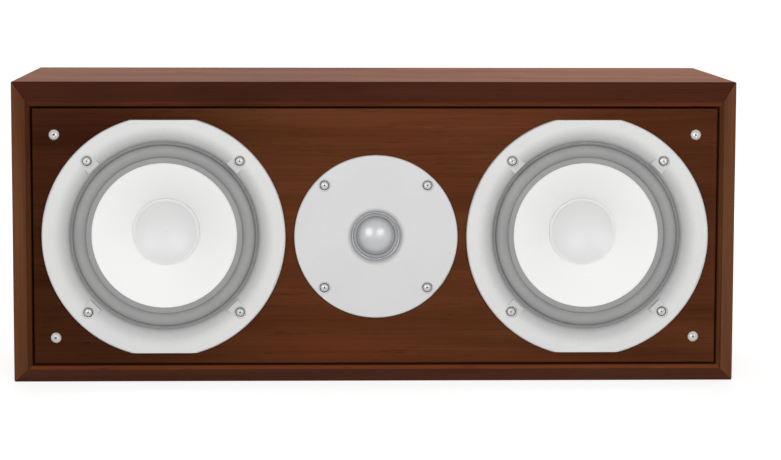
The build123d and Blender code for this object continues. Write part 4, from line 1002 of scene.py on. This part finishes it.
floor_mesh = bpy.data.meshes.new("floor")
edge = FLOOR_SIZE / 2
corners = [(-edge, -edge), (edge, -edge), (edge, edge), (-edge, edge)]
floor_mesh.from_pydata([(x, y, -FLOOR_GAP) for x, y in corners], [], [(0, 1, 2, 3)])
floor = bpy.data.objects.new("floor", floor_mesh)
bpy.context.scene.collection.objects.link(floor)
# Matt paper: an even white with no shine
paper = bpy.data.materials.new("White paper sweep")
paper.use_nodes = True
tree = paper.node_tree
tree.nodes.remove(tree.nodes["Principled BSDF"])
spot = add(tree, "ShaderNodeTexCoord").outputs["Object"]
away = add(tree, "ShaderNodeVectorMath", {0: spot}, operation="LENGTH").outputs["Value"]
ramp = add(tree, "ShaderNodeMapRange", {
    "Value": away, "From Min": NEAR, "From Max": FAR, "To Min": GLOW_NEAR, "To Max": GLOW_FAR})
strength = add(tree, MATH, {0: seen_ray(tree), 1: ramp}, operation="MULTIPLY")
matt = add(tree, "ShaderNodeBsdfDiffuse", {"Color": linear("#C4C4C2")})
glow = add(tree, "ShaderNodeEmission", {"Color": linear("#FFFFFF"), "Strength": strength})
both = add(tree, "ShaderNodeAddShader", {0: matt, 1: glow})
tree.links.new(both.outputs[0], tree.nodes["Material Output"].inputs["Surface"])
floor_mesh.materials.append(paper)
print(f"floor: {FLOOR_SIZE:.0f} m wide")

# %% Sky
SKY_LEVEL = 0.1

world = bpy.data.worlds.new("studio")
bpy.context.scene.world = world
world.use_nodes = True
tree = world.node_tree
level = add(tree, "ShaderNodeMapRange", {
    "Value": seen_ray(tree), "To Min": SKY_LEVEL, "To Max": 1.0})
tree.links.new(level.outputs[0], tree.nodes["Background"].inputs["Strength"])
tree.nodes["Background"].inputs["Color"].default_value = linear("#FFFFFF")
print("sky level:", SKY_LEVEL)

# %% [markdown]
# ## Soft boxes
# Most of the light comes from a wide low panel behind the camera, so every hollow of the drivers
# darkens evenly. Two soft boxes beside it shape the drivers and leave two highlights on the dome,
# and one at the back lights the top. Each is set by how bright it makes a white card, because
# watts say little about a lamp whose distance changes.

# %% Soft boxes
AIM = Vector((0, cad_box[0][1], axis_z))


def soft_box(name, azimuth, elevation, distance, size, level):
    """Angles in degrees from the front, sizes in metres. level is how bright this lamp alone makes
    a white card that faces it."""
    a, e = math.radians(azimuth), math.radians(elevation)
    way = Vector((math.sin(a) * math.cos(e), -math.cos(a) * math.cos(e), math.sin(e)))
    lamp = bpy.data.lights.new(name, "AREA")
    lamp.shape = "RECTANGLE"
    lamp.size, lamp.size_y = size
    lamp.energy = level * math.pi ** 2 * distance ** 2
    stand = bpy.data.objects.new(name, lamp)
    stand.location = AIM + way * distance
    stand.rotation_euler = (-way).to_track_quat("-Z", "Y").to_euler()
    bpy.context.scene.collection.objects.link(stand)
    print(f"{name}: {lamp.energy:.1f} W")
    return stand


soft_box("left_soft_box", -26, 12, 1.6, (0.7, 0.7), 0.13)
soft_box("right_soft_box", 20, 12, 1.6, (0.68, 0.68), 0.11)
soft_box("back_soft_box", 180, 30, 1.6, (1.4, 0.4), 0.42)
# Metal already shows the white room, so the panel lights without being mirrored in it
soft_box("front_panel", 2, 9, 2.3, (1.6, 0.4), 0.75).visible_glossy = False

# %% [markdown]
# ## Camera
# The camera stands under two metres in front, a hand's width above the top of the box and a
# little to the left, with a long lens. Its place and angles were fitted to the corners of the
# cabinet and the drivers.

# %% Camera
LENS, SENSOR, CLIP_END = 122.66, 36.0, 100.0
CAMERA_PLACE = (-47.0, -1843.5, 293.7)
LOOK_DOWN, LEAN, LOOK_ASIDE = 6.237, -0.147, -1.853

camera = bpy.data.cameras.new("camera")
camera.sensor_width = SENSOR
camera.lens = LENS
camera.clip_end = CLIP_END
viewer = bpy.data.objects.new("camera", camera)
viewer.location = [v * MM for v in CAMERA_PLACE]
viewer.rotation_euler = [math.radians(angle) for angle in (90 - LOOK_DOWN, LEAN, LOOK_ASIDE)]
bpy.context.scene.collection.objects.link(viewer)
bpy.context.scene.camera = viewer
bpy.context.scene.view_settings.view_transform = "Standard"
print(f"camera: {LENS} mm lens at {CAMERA_PLACE} mm")

# %% [markdown]
# ## The CAD model's box is printed.
# The dressed model may not outgrow the CAD model, so both boxes are written down side by side.

# %% Print the CAD box
print("CAD box", [[round(v / MM, 2) for v in c] for c in cad_box])
